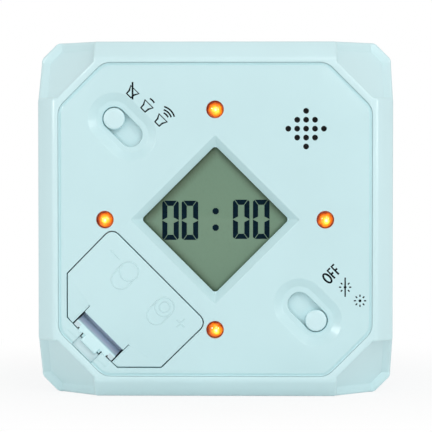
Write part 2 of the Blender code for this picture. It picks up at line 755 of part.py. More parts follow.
def make_cover_latch(diagonal, material):
    """The latch is drawn about the bend of its spring leg, which is where it flexes."""
    pivot = (0, PIVOT, PANEL_FACE - LATCH_DEPTH + SPRING_LEG / 2)

    def section(points):
        return [(y - PIVOT, LATCH_DEPTH - SPRING_LEG / 2 - depth) for y, depth in points]

    leg = section(
        [
            (TAB_TOP, 0.0),
            (LATCH_LEG_OUTSIDE - SEAT, 0.0),
            (LATCH_LEG_OUTSIDE - SEAT, TAB_THICKNESS),
            (LATCH_LEG_OUTSIDE, TAB_THICKNESS + SPRING_LEG),
            (LATCH_LEG_OUTSIDE, LATCH_DEPTH - SPRING_LEG / 2),
            (LATCH_LEG_OUTSIDE + SPRING_LEG / 2, LATCH_DEPTH),
            (PIVOT, LATCH_DEPTH),
            (PIVOT, LATCH_DEPTH - SPRING_LEG),
            (LATCH_LEG_OUTSIDE + SPRING_LEG, LATCH_DEPTH - SPRING_LEG),
            (LATCH_LEG_OUTSIDE + SPRING_LEG, TAB_THICKNESS),
            (TAB_TOP, TAB_THICKNESS / 2),
        ]
    )
    half_width = LATCH_HALF_WIDTH - SLIT_WIDTH / 2
    latch = place("cover_latch", strip_along_x(leg, half_width), diagonal, material, pivot)
    tab = section(
        [
            (TAB_TOP - SPRING_LEG / 2, 0.0),
            (TAB_BOTTOM, 0.0),
            (TAB_BOTTOM, TAB_THICKNESS),
            (TAB_TOP - SPRING_LEG / 2, TAB_THICKNESS + SPRING_LEG / 2),
        ]
    )
    add(latch, moved(strip_along_x(tab, TAB_HALF_WIDTH), pivot), diagonal)
    shoulder = section(
        [
            (TAB_TOP - SPRING_LEG / 2, TAB_SHOULDER),
            (TAB_BOTTOM, TAB_SHOULDER),
            (TAB_BOTTOM, TAB_THICKNESS),
            (TAB_TOP - SPRING_LEG / 2, TAB_THICKNESS + SPRING_LEG / 2),
        ]
    )
    add(latch, moved(strip_along_x(shoulder, half_width), pivot), diagonal)
    nose = section(
        [
            (TAB_TOP - SPRING_LEG, TAB_THICKNESS / 3),
            (NOSE_TIP, TAB_THICKNESS / 3),
            (NOSE_TIP, CATCH_DEPTH),
            (CATCH_TIP, CATCH_DEPTH),
            (CATCH_TIP, CATCH_DEPTH + CATCH_THICKNESS / 2),
            (NOSE_TIP, CATCH_DEPTH + CATCH_THICKNESS),
            (LATCH_LEG_OUTSIDE + SPRING_LEG / 2, CATCH_DEPTH + CATCH_THICKNESS),
        ]
    )
    add(latch, moved(strip_along_x(nose, NOSE_HALF_WIDTH), pivot), diagonal)
    smooth(latch)
    return latch


def helix(name, frame, material, at, height, bottom_radius, top_radius):
    """A conical spring: its wire is one curve, whose points come from the turns."""
    curve = bpy.data.curves.new(name, "CURVE")
    curve.dimensions = "3D"
    curve.bevel_depth = WIRE_RADIUS
    curve.bevel_resolution = 1
    curve.use_fill_caps = True
    spline = curve.splines.new("POLY")
    count = SPRING_TURNS * SMALL_ROUND + 1
    spline.points.add(count - 1)
    climb = height - 2 * WIRE_RADIUS
    for i, point in enumerate(spline.points):
        share = i / (count - 1)
        angle = 2 * math.pi * SPRING_TURNS * share
        radius = bottom_radius + (top_radius - bottom_radius) * share
        point.co = (radius * math.cos(angle), radius * math.sin(angle), WIRE_RADIUS + climb * share, 1)
    obj = bpy.data.objects.new(name, curve)
    bpy.data.collections[PARTS].objects.link(obj)
    obj.parent = frame
    obj.location = at
    curve.materials.append(material)
    return obj


def make_bridge(diagonal, metal):
    """The plate inside the cover that joins the two cells, and its spring. They turn with the cover."""
    corners = rectangle(2 * CELL_OFFSET + CELL_RADIUS, BRIDGE_WIDTH, (0, BAY_CENTRE))
    outline = rounded(corners, CELL_RADIUS / 3)
    place("cover_contact_plate", sheet([outline], BRIDGE_BACK, BRIDGE_TOP), diagonal, metal)
    bottom = BRIDGE_BACK - SEAT - COVER_SPRING_HEIGHT
    at = (-CELL_OFFSET, BAY_CENTRE, bottom)
    helix("cover_spring", diagonal, metal, at, COVER_SPRING_HEIGHT, SPRING_TIP, SPRING_FOOT)


def make_cell(name, diagonal, material, x, nub_end, plain_end):
    """A cell from its plain end to the tip of its nub, whichever way that points."""
    up = 1 if nub_end > plain_end else -1
    edge = CELL_NUB[1] / 2
    shoulder = CELL_LENGTH - CELL_NUB[1]
    profile = [
        (0, CELL_LENGTH),
        (CELL_NUB[0] - edge / 2, CELL_LENGTH),
        (CELL_NUB[0], CELL_LENGTH - edge / 2),
        (CELL_NUB[0], shoulder),
        (CELL_RADIUS - edge, shoulder),
        (CELL_RADIUS, shoulder - edge),
        (CELL_RADIUS, edge / 2),
        (CELL_RADIUS - edge / 2, 0),
        (0, 0),
    ]
    cell = turned(name, profile, diagonal, material)
    cell.location = (x, BAY_CENTRE, plain_end)
    if up < 0:
        cell.rotation_euler = (math.pi, 0, 0)
    smooth(cell)
    return cell


def make_cradle(diagonal, material):
    centre = (0, BAY_CENTRE)
    stretch = 2 * CELL_OFFSET
    cradle = place(
        "battery_cradle",
        stadium(CRADLE_RADIUS, CRADLE_BACK, FLANGE_TOP, stretch, centre=centre),
        diagonal,
        material,
    )
    half = CELL_OFFSET + CRADLE_RADIUS + CRADLE_FLANGE_LIP
    top = BAY_CENTRE + CRADLE_RADIUS
    side = (PANEL_FLATS / 2 - LEDGE_WIDTH - 2 * SEAT) * math.sqrt(2)
    bottom = COVER_BOTTOM
    lamp_clear = LAMP_PLACE[0] - LAMP_FLANGE[0] - SEAT
    lamp_foot = -LAMP_PLACE[1] - LAMP_FLANGE[0] - SEAT
    flange = [
        (-half, half - side),
        (-side - bottom, bottom),
        (side + bottom, bottom),
        (half, half - side),
        (half, lamp_foot),
        (lamp_clear, top - SEAT),
        (lamp_clear - SEAT, top),
        (-lamp_clear + SEAT, top),
        (-lamp_clear, top - SEAT),
        (-half, lamp_foot),
    ]
    add(cradle, sheet([flange], FLANGE_BACK, FLANGE_TOP), diagonal)
    bore = stadium(BAY_RADIUS, CRADLE_FLOOR, FLANGE_TOP + OVERRUN, stretch, centre=centre)
    cut(cradle, bore, diagonal)
    latch_room = block(
        (
            2 * (LATCH_HALF_WIDTH + OVERRUN / 2),
            SLIT_TOP - COVER_BOTTOM + 2 * OVERRUN,
            CRADLE_FLANGE + 2 * OVERRUN,
        ),
        (0, (SLIT_TOP + COVER_BOTTOM) / 2, (FLANGE_TOP + FLANGE_BACK) / 2 + OVERRUN / 2),
    )
    tongue_room = [
        block(
            (TONGUE[0] + 2 * COVER_GAP, 2 * CRADLE_WALL + 6 * SEAT, CRADLE_FLANGE + 2 * OVERRUN),
            (side_sign * TONGUE_OFFSET, top - CRADLE_WALL, FLANGE_TOP + OVERRUN - CRADLE_FLANGE / 2),
        )
        for side_sign in (-1, 1)
    ]
    cut(cradle, joined(latch_room, *tongue_room), diagonal)
    rib_outside = BAY_CENTRE + BAY_RADIUS + CRADLE_WALL / 2
    ribs = [
        block(
            (CELL_RIB[0], CELL_RIB[1] + CRADLE_WALL / 2, LEFT_CELL_TOP - CRADLE_FLOOR + CRADLE_WALL / 2),
            (
                0,
                BAY_CENTRE + side_sign * (rib_outside - BAY_CENTRE - (CELL_RIB[1] + CRADLE_WALL / 2) / 2),
                (LEFT_CELL_TOP + CRADLE_FLOOR - CRADLE_WALL / 2) / 2,
            ),
        )
        for side_sign in (-1, 1)
    ]
    add(cradle, joined(*ribs), diagonal)
    exits = [
        block(
            (2 * CRADLE_RADIUS / 3, CONTACT_WIDTH + 2 * SEAT, CONTACT_THICKNESS + 2 * SEAT + OVERRUN / 2),
            (
                side_sign * (CELL_OFFSET + CRADLE_RADIUS),
                BAY_CENTRE,
                STRIP_BACK - SEAT + (CONTACT_THICKNESS + 2 * SEAT + OVERRUN / 2) / 2,
            ),
        )
        for side_sign in (-1, 1)
    ]
    cut(cradle, joined(*exits), diagonal)
    smooth(cradle)
    return cradle


def make_rear_contacts(diagonal, metal):
    """Bent strips: from under each cell, out through the wall of the cradle and forward to the board."""
    outside = CELL_OFFSET + CRADLE_RADIUS + SEAT
    section = [
        (CELL_OFFSET - CELL_NUB[0], STRIP_BACK),
        (outside + CONTACT_THICKNESS, STRIP_BACK),
        (outside + CONTACT_THICKNESS, BOARD_BACK - SEAT),
        (outside, BOARD_BACK - SEAT),
        (outside, STRIP_TOP),
        (CELL_OFFSET - CELL_NUB[0], STRIP_TOP),
    ]
    upright = Matrix(((1, 0, 0), (0, 0, -1), (0, 1, 0)))
    strip = sheet([section], -CONTACT_WIDTH / 2, CONTACT_WIDTH / 2, upright)
    place("negative_strip", moved(strip, (0, BAY_CENTRE, 0)), diagonal, metal)
    turned_strip = moved(strip, (0, BAY_CENTRE, 0), Matrix.Rotation(math.pi, 3, "Z"))
    place("positive_strip", turned_strip, diagonal, metal)
    at = (CELL_OFFSET, BAY_CENTRE, STRIP_TOP + SEAT)
    height = RIGHT_CELL_BACK - STRIP_TOP - 2 * SEAT
    helix("rear_spring", diagonal, metal, at, height, SPRING_FOOT, SPRING_TIP)


def make_display(diagonal, glass, dark, rubber):
    cell = block((GLASS, GLASS, GLASS_THICKNESS), (0, 0, GLASS_TOP - GLASS_THICKNESS / 2))
    place("lcd_glass", cell, diagonal, glass)
    width, length = CONNECTOR
    slot = (width + 2 * SLIDE, length + 2 * SLIDE)
    slots = [rectangle(*slot, (side * CONNECTOR_OFFSET, 0)) for side in (-1, 1)]
    opening = rounded(rectangle(HOLDER_OPENING, HOLDER_OPENING), PANEL_CORNER / 2)
    loops = [rounded(rectangle(GLASS, GLASS), PANEL_CORNER / 4), opening, *slots]
    place("lcd_holder", sheet(loops, HOLDER_BACK, HOLDER_TOP), diagonal, dark)
    height = GLASS_BACK - BOARD_FRONT - 2 * SEAT
    for name, side in (("connector_left", -1), ("connector_right", 1)):
        centre = (side * CONNECTOR_OFFSET, 0, BOARD_FRONT + SEAT + height / 2)
        place(name, block((width, length, height), centre), diagonal, rubber)


def make_board(diagonal, frame, material, steel):
    outline = octagon(BOARD_FLATS, BOARD_DIAGONALS, PANEL_CORNER)
    board = place("main_board", sheet([outline], BOARD_BACK, BOARD_FRONT), frame, material)
    low, high = BOARD_BACK - OVERRUN, BOARD_FRONT + OVERRUN
    clear = CRADLE_RADIUS + CONTACT_THICKNESS + 2 * SEAT
    bay = stadium(clear, low, high, 2 * CELL_OFFSET, centre=(0, BAY_CENTRE))
    cut(board, bay, diagonal)
    outward = block(
        (2 * (CELL_OFFSET + CRADLE_RADIUS) + SEAT, CUBE / 2, BOARD_THICKNESS + 2 * OVERRUN),
        (0, BAY_CENTRE - CUBE / 4, (BOARD_FRONT + BOARD_BACK) / 2),
    )
    cut(board, outward, diagonal)
    hole = SCREW_RADIUS + SEAT
    holes = [stadium(hole, low, high, sides=SMALL_ROUND, centre=place_at) for place_at in BOSS_PLACES]
    cut(board, joined(*holes), diagonal)
    smooth(board)
    for number, (x, y) in enumerate(BOSS_PLACES, 1):
        head = BOARD_BACK - SEAT
        crown = SCREW_HEAD_HEIGHT / 3
        profile = [
            (0, head + SCREW_LENGTH),
            (SCREW_RADIUS * 0.5, head + SCREW_LENGTH),
            (SCREW_RADIUS, head + SCREW_LENGTH - SCREW_RADIUS),
            (SCREW_RADIUS, head),
            (SCREW_HEAD_RADIUS, head),
            (SCREW_HEAD_RADIUS, head - SCREW_HEAD_HEIGHT + crown),
            (SCREW_HEAD_RADIUS - crown, head - SCREW_HEAD_HEIGHT),
            (0, head - SCREW_HEAD_HEIGHT),
        ]
        screw = turned(f"board_screw_{number}", profile, diagonal, steel, SMALL_ROUND)
        screw.location = (x, y, 0)
        smooth(screw)


def make_switch(name, side, diagonal, plate_colour, steel, dark):
    """One slide switch: case on the board, lever in it, and the knob that the lever carries in the slot."""
    rest = side * SWITCH_REST
    length, width, height = SWITCH_CASE
    centre = (side * SWITCH_CENTRE, 0)
    case_top = BOARD_FRONT + SEAT + height
    case = place(
        f"{name}_switch_case",
        block(SWITCH_CASE, (*centre, case_top - height / 2)),
        diagonal,
        steel,
    )
    wall = SWITCH_CASE_WALL
    room = block((length - 2 * wall, width - 2 * wall, height), (*centre, case_top - height / 2 - wall))
    cut(case, room, diagonal)
    slot_size = LEVER_POST + 2 * SLIDE
    slot = block((slot_size + SWITCH_TRAVEL + SLIDE, slot_size, 2 * height), (*centre, case_top))
    cut(case, slot, diagonal)

    post_top = KNOB_PLATE_BACK + LEVER_ENTRY
    foot_top = case_top - wall - SEAT
    origin = (rest, 0, PANEL_FACE)
    foot = block(LEVER_FOOT, (0, 0, foot_top - LEVER_FOOT[2] / 2 - PANEL_FACE))
    lever = place(f"{name}_switch_lever", foot, diagonal, dark, origin)
    post = block(
        (LEVER_POST, LEVER_POST, post_top - foot_top + ROOT),
        (rest, 0, (post_top + foot_top - ROOT) / 2),
    )
    add(lever, post, diagonal)

    plate_width, plate_thickness = KNOB_PLATE
    knob_top = PANEL_FACE - KNOB_SINK
    plate_length = 2 * (SWITCH_TRAVEL + SLOT_RADIUS)
    plate = sheet(
        [rounded(rectangle(plate_length, plate_width), PANEL_CORNER / 4)],
        KNOB_PLATE_BACK - PANEL_FACE,
        KNOB_PLATE_TOP - PANEL_FACE,
    )
    knob = place(f"{name}_knob", plate, diagonal, plate_colour, origin)
    stem = stadium(
        KNOB_RADIUS,
        KNOB_PLATE_TOP - plate_thickness / 2,
        knob_top,
        centre=(rest, 0),
        rounding=KNOB_ROUNDING,
    )
    add(knob, stem, diagonal)
    socket = block(
        (LEVER_POST + 2 * SLIDE, LEVER_POST + 2 * SLIDE, LEVER_ENTRY + SEAT + OVERRUN),
        (rest, 0, KNOB_PLATE_BACK + (LEVER_ENTRY + SEAT - OVERRUN) / 2),
    )
    cut(knob, socket, diagonal)
    smooth(knob)


def make_lamps(diagonal, material):
    """Each lamp has a dome, a collar and two legs that stand level on the board."""
    dome_centre = PANEL_FACE - LAMP_RADIUS
    collar_top = PANEL_FACE - LAMP_HEIGHT
    dome = [
        (LAMP_RADIUS * math.sin(angle), dome_centre + LAMP_RADIUS * math.cos(angle))
        for angle in [math.pi / 2 * k / CORNER_STEPS for k in range(CORNER_STEPS + 1)]
    ]
    collar_radius, collar_height = LAMP_FLANGE
    profile = [
        *dome,
        (LAMP_RADIUS, collar_top),
        (collar_radius, collar_top),
        (collar_radius, collar_top - collar_height),
        (0, collar_top - collar_height),
    ]
    leg_top = collar_top - collar_height / 2
    leg_bottom = BOARD_FRONT + SEAT
    half_pitch = LAMP_LEG_PITCH / 2 / math.sqrt(2)
    for name, (x, y) in lamp_places().items():
        lamp = turned(name, profile, diagonal, material, SMALL_ROUND + 8)
        lamp.location = (x, y, 0)
        legs = [
            block(
                (LAMP_LEG, LAMP_LEG, leg_top - leg_bottom),
                (x + side * half_pitch, y + side * half_pitch, (leg_top + leg_bottom) / 2),
            )
            for side in (-1, 1)
        ]
        add(lamp, joined(*legs), diagonal)
        smooth(lamp)


def make_sounder(diagonal, material, rubber):
    bottom = BOARD_FRONT + SEAT
    top = bottom + SOUNDER_HEIGHT
    edge = SOUNDER_PORT / 2
    profile = [
        (0, top - edge),
        (SOUNDER_PORT, top - edge),
        (SOUNDER_PORT, top),
        (SOUNDER_RADIUS - edge, top),
        (SOUNDER_RADIUS, top - edge),
        (SOUNDER_RADIUS, bottom),
        (0, bottom),
    ]
    sounder = turned("sounder", profile, diagonal, material)
    sounder.location = (0, SOUNDER_OFFSET, 0)
    smooth(sounder)
    ring_outside = SOUNDER_RADIUS - edge
    ring = [
        (ring_outside - GASKET_WALL, PANEL_BACK - SEAT),
        (ring_outside, PANEL_BACK - SEAT),
        (ring_outside, top + SEAT),
        (ring_outside - GASKET_WALL, top + SEAT),
        (ring_outside - GASKET_WALL, PANEL_BACK - SEAT),
    ]
    gasket = turned("sounder_gasket", ring, diagonal, rubber)
    gasket.location = (0, SOUNDER_OFFSET, 0)
    smooth(gasket)


def make_rear_parts(diagonal, epoxy, dark, steel):
    """Parts that stand on the rear of the board, drawn downwards from it."""
    under = BOARD_BACK - SEAT
    angles = [math.pi / 2 * k / CORNER_STEPS for k in range(CORNER_STEPS + 1)]
    blob = [(0, under)]
    blob += [(BLOB_RADIUS * math.cos(a), under - BLOB_HEIGHT * math.sin(a)) for a in angles]
    controller = turned("controller_blob", blob, diagonal, epoxy)
    controller.location = (*BLOB_PLACE, 0)
    smooth(controller)
    sensor = block(SENSOR, (*SENSOR_PLACE, under - SENSOR[2] / 2), SENSOR_ROUNDING)
    place("tilt_sensor", sensor, diagonal, dark)
    can = stadium(CRYSTAL_RADIUS, -CRYSTAL_LENGTH / 2, CRYSTAL_LENGTH / 2, sides=SMALL_ROUND)
    place(
        "watch_crystal",
        moved(can, turn=Matrix.Rotation(math.pi / 2, 3, "X")),
        diagonal,
        steel,
        (*CRYSTAL_PLACE, under - CRYSTAL_RADIUS),
    )
    groove = CAPACITOR_GROOVE
    neck = under - CAPACITOR_HEIGHT / 5
    profile = [
        (0, under),
        (CAPACITOR_RADIUS - groove, under),
        (CAPACITOR_RADIUS, under - groove),
        (CAPACITOR_RADIUS, neck + 2 * groove),
        (CAPACITOR_RADIUS - groove, neck),
        (CAPACITOR_RADIUS, neck - 2 * groove),
        (CAPACITOR_RADIUS, under - CAPACITOR_HEIGHT + groove),
        (CAPACITOR_RADIUS - groove, under - CAPACITOR_HEIGHT),
        (0, under - CAPACITOR_HEIGHT),
    ]
    capacitor = turned("capacitor", profile, diagonal, steel, SMALL_ROUND + 8)
    capacitor.location = (*CAPACITOR_PLACE, 0)
    smooth(capacitor)


def main():
    clear_scene()
    upright = empty("face_frame", None, (math.pi / 2, 0, 0))
    upright.location = (0, 0, CUBE / 2)
    diagonal = empty("diagonal_frame", upright, (0, 0, -math.pi / 4))
    bpy.context.view_layer.update()

    shell_blue = plastic("shell_plastic", (0.70, 0.87, 0.89), 0.30)
    panel_blue = plastic("panel_plastic", (0.60, 0.81, 0.84), 0.38)
    glass = plastic("display_glass", (0.20, 0.30, 0.22), 0.12)
    amber = plastic("lamp_resin", (0.95, 0.40, 0.05), 0.15)
    steel = plastic("plated_steel", (0.62, 0.62, 0.60), 0.30, 1.0)
    nickel = plastic("nickel_contact", (0.72, 0.70, 0.64), 0.25, 1.0)
    black = plastic("black_plastic", (0.03, 0.03, 0.035), 0.45)
    rubber = plastic("grey_rubber", (0.30, 0.30, 0.31), 0.80)
    green = plastic("board_laminate", (0.03, 0.22, 0.10), 0.40)
    epoxy = plastic("black_epoxy", (0.02, 0.02, 0.02), 0.30)
    sleeve = plastic("cell_sleeve", (0.10, 0.11, 0.12), 0.35)
    natural = plastic("cradle_plastic", (0.75, 0.78, 0.78), 0.45)

    make_cube_shell(upright, diagonal, shell_blue)
    make_display_panel(upright, diagonal, panel_blue)
    make_battery_cover(diagonal, panel_blue)
    make_cover_latch(diagonal, panel_blue)
    make_bridge(diagonal, nickel)
    make_cell("battery_cell_left", diagonal, sleeve, -CELL_OFFSET, LEFT_CELL_BACK, LEFT_CELL_TOP)
    make_cell("battery_cell_right", diagonal, sleeve, CELL_OFFSET, RIGHT_CELL_TOP, RIGHT_CELL_BACK)
    make_cradle(diagonal, natural)
    make_rear_contacts(diagonal, nickel)
    make_display(diagonal, glass, black, rubber)
    make_board(diagonal, upright, green, steel)
    make_switch("volume", -1, diagonal, shell_blue, steel, black)
    make_switch("mode", 1, diagonal, shell_blue, steel, black)
    make_lamps(diagonal, amber)
    make_sounder(diagonal, black, rubber)
    make_rear_parts(diagonal, epoxy, black, steel)


main()
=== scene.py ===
"""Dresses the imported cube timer: finer pieces over the CAD nodes, printed signs, materials, stage and camera."""
import math

import bmesh
import bpy
from bpy.props import FloatProperty, FloatVectorProperty, IntProperty, PointerProperty, StringProperty
from mathutils import Matrix, Vector


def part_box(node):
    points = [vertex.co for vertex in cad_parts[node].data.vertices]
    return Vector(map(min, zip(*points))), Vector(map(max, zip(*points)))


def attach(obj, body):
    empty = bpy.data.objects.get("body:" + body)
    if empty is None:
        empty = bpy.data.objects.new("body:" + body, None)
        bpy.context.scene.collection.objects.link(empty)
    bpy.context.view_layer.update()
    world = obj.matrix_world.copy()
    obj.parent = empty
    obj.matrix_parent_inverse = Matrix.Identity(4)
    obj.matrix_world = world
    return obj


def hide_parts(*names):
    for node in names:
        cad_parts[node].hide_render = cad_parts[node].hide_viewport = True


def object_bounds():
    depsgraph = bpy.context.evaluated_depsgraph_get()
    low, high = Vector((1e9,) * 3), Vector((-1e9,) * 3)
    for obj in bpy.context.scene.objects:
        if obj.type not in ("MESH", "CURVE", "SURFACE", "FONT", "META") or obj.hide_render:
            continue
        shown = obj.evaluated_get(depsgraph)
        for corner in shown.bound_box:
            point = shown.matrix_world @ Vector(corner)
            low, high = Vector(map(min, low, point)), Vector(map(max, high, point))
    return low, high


bl_info = {
    "name": "Cube timer",
    "version": (1, 0, 0),
    "blender": (4, 5, 0),
    "location": "View3D > Sidebar > Timer",
    "description": "Builds the looks of a cube timer over its packed model",
    "category": "Object",
}

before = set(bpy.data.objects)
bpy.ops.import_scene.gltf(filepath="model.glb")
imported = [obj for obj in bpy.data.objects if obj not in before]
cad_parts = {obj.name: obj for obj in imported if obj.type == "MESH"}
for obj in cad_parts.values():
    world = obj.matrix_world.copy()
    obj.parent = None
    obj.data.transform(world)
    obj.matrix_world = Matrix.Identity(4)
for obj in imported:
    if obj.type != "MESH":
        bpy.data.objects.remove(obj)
CAD_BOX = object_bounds()

MM = 0.001
NEAR = 0.01 * MM  # a vertex this near to a plane counts as lying on it
HALF = (CAD_BOX[1].z - CAD_BOX[0].z) / 2
ROOT_HALF = math.sqrt(0.5)

# The face frame has x to the right and y up on the display face and z out of it, from the centre of the cube. The
# diagonal frame is the same, turned 45 degrees: its x runs down to the right and its y up to the right.
FACE = Matrix.Translation((0, 0, HALF)) @ Matrix.Rotation(math.pi / 2, 4, "X")
DIAGONAL = FACE @ Matrix.Rotation(-math.pi / 4, 4, "Z")
INTO_DIAGONAL = DIAGONAL.inverted()


def extent(node):
    """A CAD node in the face frame: x and y of its middle, and how far out its front and its rear are."""
    low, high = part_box(node)
    return (low.x + high.x) / 2, (low.z + high.z) / 2 - HALF, -low.y, -high.y


PANEL_FACE = HALF - 0.1 * MM
GLASS_FRONT, GLASS_REAR = extent("lcd_glass")[2:]
BOARD_FRONT = extent("main_board")[2]

# The battery cover, which stands in the lower left corner: its two flat sides out from the middle of the face, and its
# long edge, foot and half width in the diagonal frame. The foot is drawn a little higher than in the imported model.
COVER_SIDE = 25.05 * MM
COVER_TOP = 12.9 * MM
COVER_FOOT = 29.7 * MM
COVER_HALF = 11.9 * MM
FOOT_RAISED = 0.35 * MM

CORNER_CUT = 5.6 * MM  # how much further the panel's octagon reaches to its corners than to its sides


# Working in Blender as by hand.


def deselect():
    if bpy.context.object and bpy.context.object.mode != "OBJECT":
        close_edit()
    bpy.ops.object.select_all(action="DESELECT")


def pick(*objects):
    """Selects these objects and nothing else. The first is the active one."""
    deselect()
    for obj in objects:
        obj.select_set(True)
    bpy.context.view_layer.objects.active = objects[0]


def edit(obj, action="DESELECT"):
    """Opens a mesh in edit mode, with nothing selected or with all of it."""
    pick(obj)
    bpy.ops.object.mode_set(mode="EDIT")
    bpy.ops.mesh.select_all(action=action)


def close_edit():
    bpy.ops.object.mode_set(mode="OBJECT")


def settle(obj):
    """Moves an object's place, turn and size into its mesh."""
    pick(obj)
    bpy.ops.object.transform_apply(location=True, rotation=True, scale=True)


def link(name, data):
    """Adds an object to the scene."""
    obj = bpy.data.objects.new(name, data)
    bpy.context.scene.collection.objects.link(obj)
    return obj


def own_copy(obj):
    """A copy of a settled piece, with a mesh of its own."""
    return link(obj.name, obj.data.copy())


def discard(*objects):
    for obj in objects:
        bpy.data.objects.remove(obj)


def join(*objects):
    """Makes one piece of several, which keeps the place of the first."""
    pick(*objects)
    bpy.ops.object.join()
    return objects[0]


def primitive(kind, **sizes):
    deselect()
    getattr(bpy.ops.mesh, f"primitive_{kind}_add")(**sizes)
    return bpy.context.object


def box(size, centre, rounding, segments=2):
    """A block with softened edges."""
    cube = primitive("cube", size=1, location=centre)
    cube.scale = size
    settle(cube)
    edit(cube, "SELECT")
    bpy.ops.mesh.bevel(offset=rounding, segments=segments, affect="EDGES")
    close_edit()
    return cube


def twins(block, distance):
    """Joins a piece and a copy of it that stands so far to its right."""
    twin = own_copy(block)
    twin.location.x = distance
    settle(twin)
    return join(block, twin)


def face_blocks(size, centre, rounding, segments=2):
    """A block on the display face, and its like on the other side where it stands off the middle.

    It is given in millimetres in the diagonal frame, with its height counted from the face of the panel.
    """
    x, y, height = centre
    place = (-x * MM, y * MM, PANEL_FACE + height * MM)
    block = box([side * MM for side in size], place, rounding * MM, segments)
    return twins(block, 2 * x * MM) if x else block


def select_places(obj, test):
    """In edit mode, selects the vertices whose places pass the test."""
    bpy.ops.mesh.select_mode(type="VERT")
    mesh = bmesh.from_edit_mesh(obj.data)
    for vertex in mesh.verts:
        vertex.select_set(test(vertex.co))
    bmesh.update_edit_mesh(obj.data)


def slide(obj, test, move):
    """Moves the vertices that pass the test, as with the move tool."""
    edit(obj)
    select_places(obj, test)
    bpy.ops.transform.translate(value=move)
    close_edit()


def spread_out(obj, test, factor, middle):
    """Scales the vertices that pass the test, across the face and from the middle given."""
    edit(obj, "SELECT")
    bpy.ops.mesh.quads_convert_to_tris()
    select_places(obj, test)
    bpy.ops.transform.resize(value=(factor, 1, factor), center_override=middle)
    close_edit()


def soften(obj, place, test, offset, segments, longest=1.0, least=0.2):
    """Rounds the sharp edges whose two ends pass the test, which is given their places in the frame named."""
    back = place.inverted()
    edit(obj)
    bpy.ops.mesh.select_mode(type="EDGE")
    mesh = bmesh.from_edit_mesh(obj.data)
    for edge in mesh.edges:
        sharp = edge.calc_face_angle(0) > least and edge.calc_length() < longest
        edge.select_set(sharp and all(test(back @ vertex.co) for vertex in edge.verts))
    bmesh.update_edit_mesh(obj.data)
    bpy.ops.mesh.bevel(offset=offset, segments=segments, affect="EDGES", clamp_overlap=True)
    close_edit()


def turned(steps, sides=48):
    """A round piece: a disc is drawn up through (radius, height) steps. A last radius of 0 closes it in a point."""
    radius, height = steps[0]
    disc = primitive("circle", vertices=sides, radius=radius, fill_type="NGON", location=(0, 0, height))
    settle(disc)
    edit(disc)
    bpy.ops.mesh.select_mode(type="FACE")
    bpy.ops.mesh.select_all(action="SELECT")
    for next_radius, next_height in steps[1:]:
        bpy.ops.mesh.extrude_region_move(TRANSFORM_OT_translate={"value": (0, 0, next_height - height)})
        if next_radius:
            share = next_radius / radius
            bpy.ops.transform.resize(value=(share, share, 1), center_override=(0, 0, next_height))
        else:
            bpy.ops.mesh.merge(type="CENTER")
        radius, height = next_radius, next_height
    bpy.ops.mesh.select_all(action="SELECT")
    bpy.ops.mesh.normals_make_consistent(inside=False)
    close_edit()
    return disc


def modify(obj, kind, **values):
    """Adds a modifier and applies it."""
    modifier = obj.modifiers.new(kind.title(), kind)
    for key, value in values.items():
        setattr(modifier, key, value)
    pick(obj)
    bpy.ops.object.modifier_apply(modifier=modifier.name)


def combine(obj, tool, operation="DIFFERENCE"):
    """Cuts a tool's shape out of a piece, or joins it to the piece, and uses the tool up."""
    modify(obj, "BOOLEAN", operation=operation, object=tool, solver="EXACT")
    discard(tool)


def weld(obj):
    """Merges what lies doubled and turns the faces outwards."""
    edit(obj, "SELECT")
    bpy.ops.mesh.remove_doubles(threshold=0.002 * MM)
    bpy.ops.mesh.normals_make_consistent(inside=False)
    close_edit()


def drawn(dimensions, splines, closed, **values):
    """A curve along each list of points, made a mesh."""
    curve = bpy.data.curves.new("drawn", "CURVE")
    curve.dimensions = dimensions
    for key, value in values.items():
        setattr(curve, key, value)
    for places in splines:
        spline = curve.splines.new("POLY")
        spline.points.add(len(places) - 1)
        for point, place in zip(spline.points, places):
            point.co = (*Vector(place).to_3d(), 1)
        spline.use_cyclic_u = closed
    shape = link("drawn", curve)
    pick(shape)
    bpy.ops.object.convert(target="MESH")
    return shape


def stroke(points, width, closed=False):
    """A round tube along the points."""
    return drawn("3D", [points], closed, bevel_depth=width / 2, bevel_resolution=2, use_fill_caps=True)


def line(points, width, closed=False):
    """A stroke given in millimetres, to be pressed flat by ink()."""
    return stroke([Vector(point) * MM for point in points], width * MM, closed)


def flat_shapes(outlines, thickness):
    """Flat filled outlines, such as the bars of a digit."""
    shape = drawn("2D", outlines, True, fill_mode="BOTH", extrude=thickness / 2)
    weld(shape)
    return shape


def arc(centre, radius, start, end, steps=16):
    """Points on an arc, from one angle to another in degrees."""
    angles = [math.radians(start + (end - start) * i / steps) for i in range(steps + 1)]
    return [(centre[0] + radius * math.cos(a), centre[1] + radius * math.sin(a)) for a in angles]


def ring(centre, radius, steps):
    return arc(centre, radius, 0, 360, steps)[:-1]


def ink(lines, height, level):
    """Joins drawn lines and presses them flat, so that they stand only height above the level."""
    sheet = join(*lines)
    weld(sheet)
    sheet.scale.z = height / max(abs(vertex.co.z) for vertex in sheet.data.vertices)
    sheet.location.z = level
    settle(sheet)
    return sheet


def copy_of(node):
    """A CAD node's shape as a new piece: merged, and with its flat faces whole again."""
    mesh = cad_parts[node].data.copy()
    mesh.materials.clear()
    piece = link(node, mesh)
    edit(piece, "SELECT")
    bpy.ops.mesh.customdata_custom_splitnormals_clear()
    bpy.ops.mesh.remove_doubles(threshold=0.001 * MM)
    bpy.ops.mesh.dissolve_limited(angle_limit=math.radians(0.4))
    close_edit()
    return piece


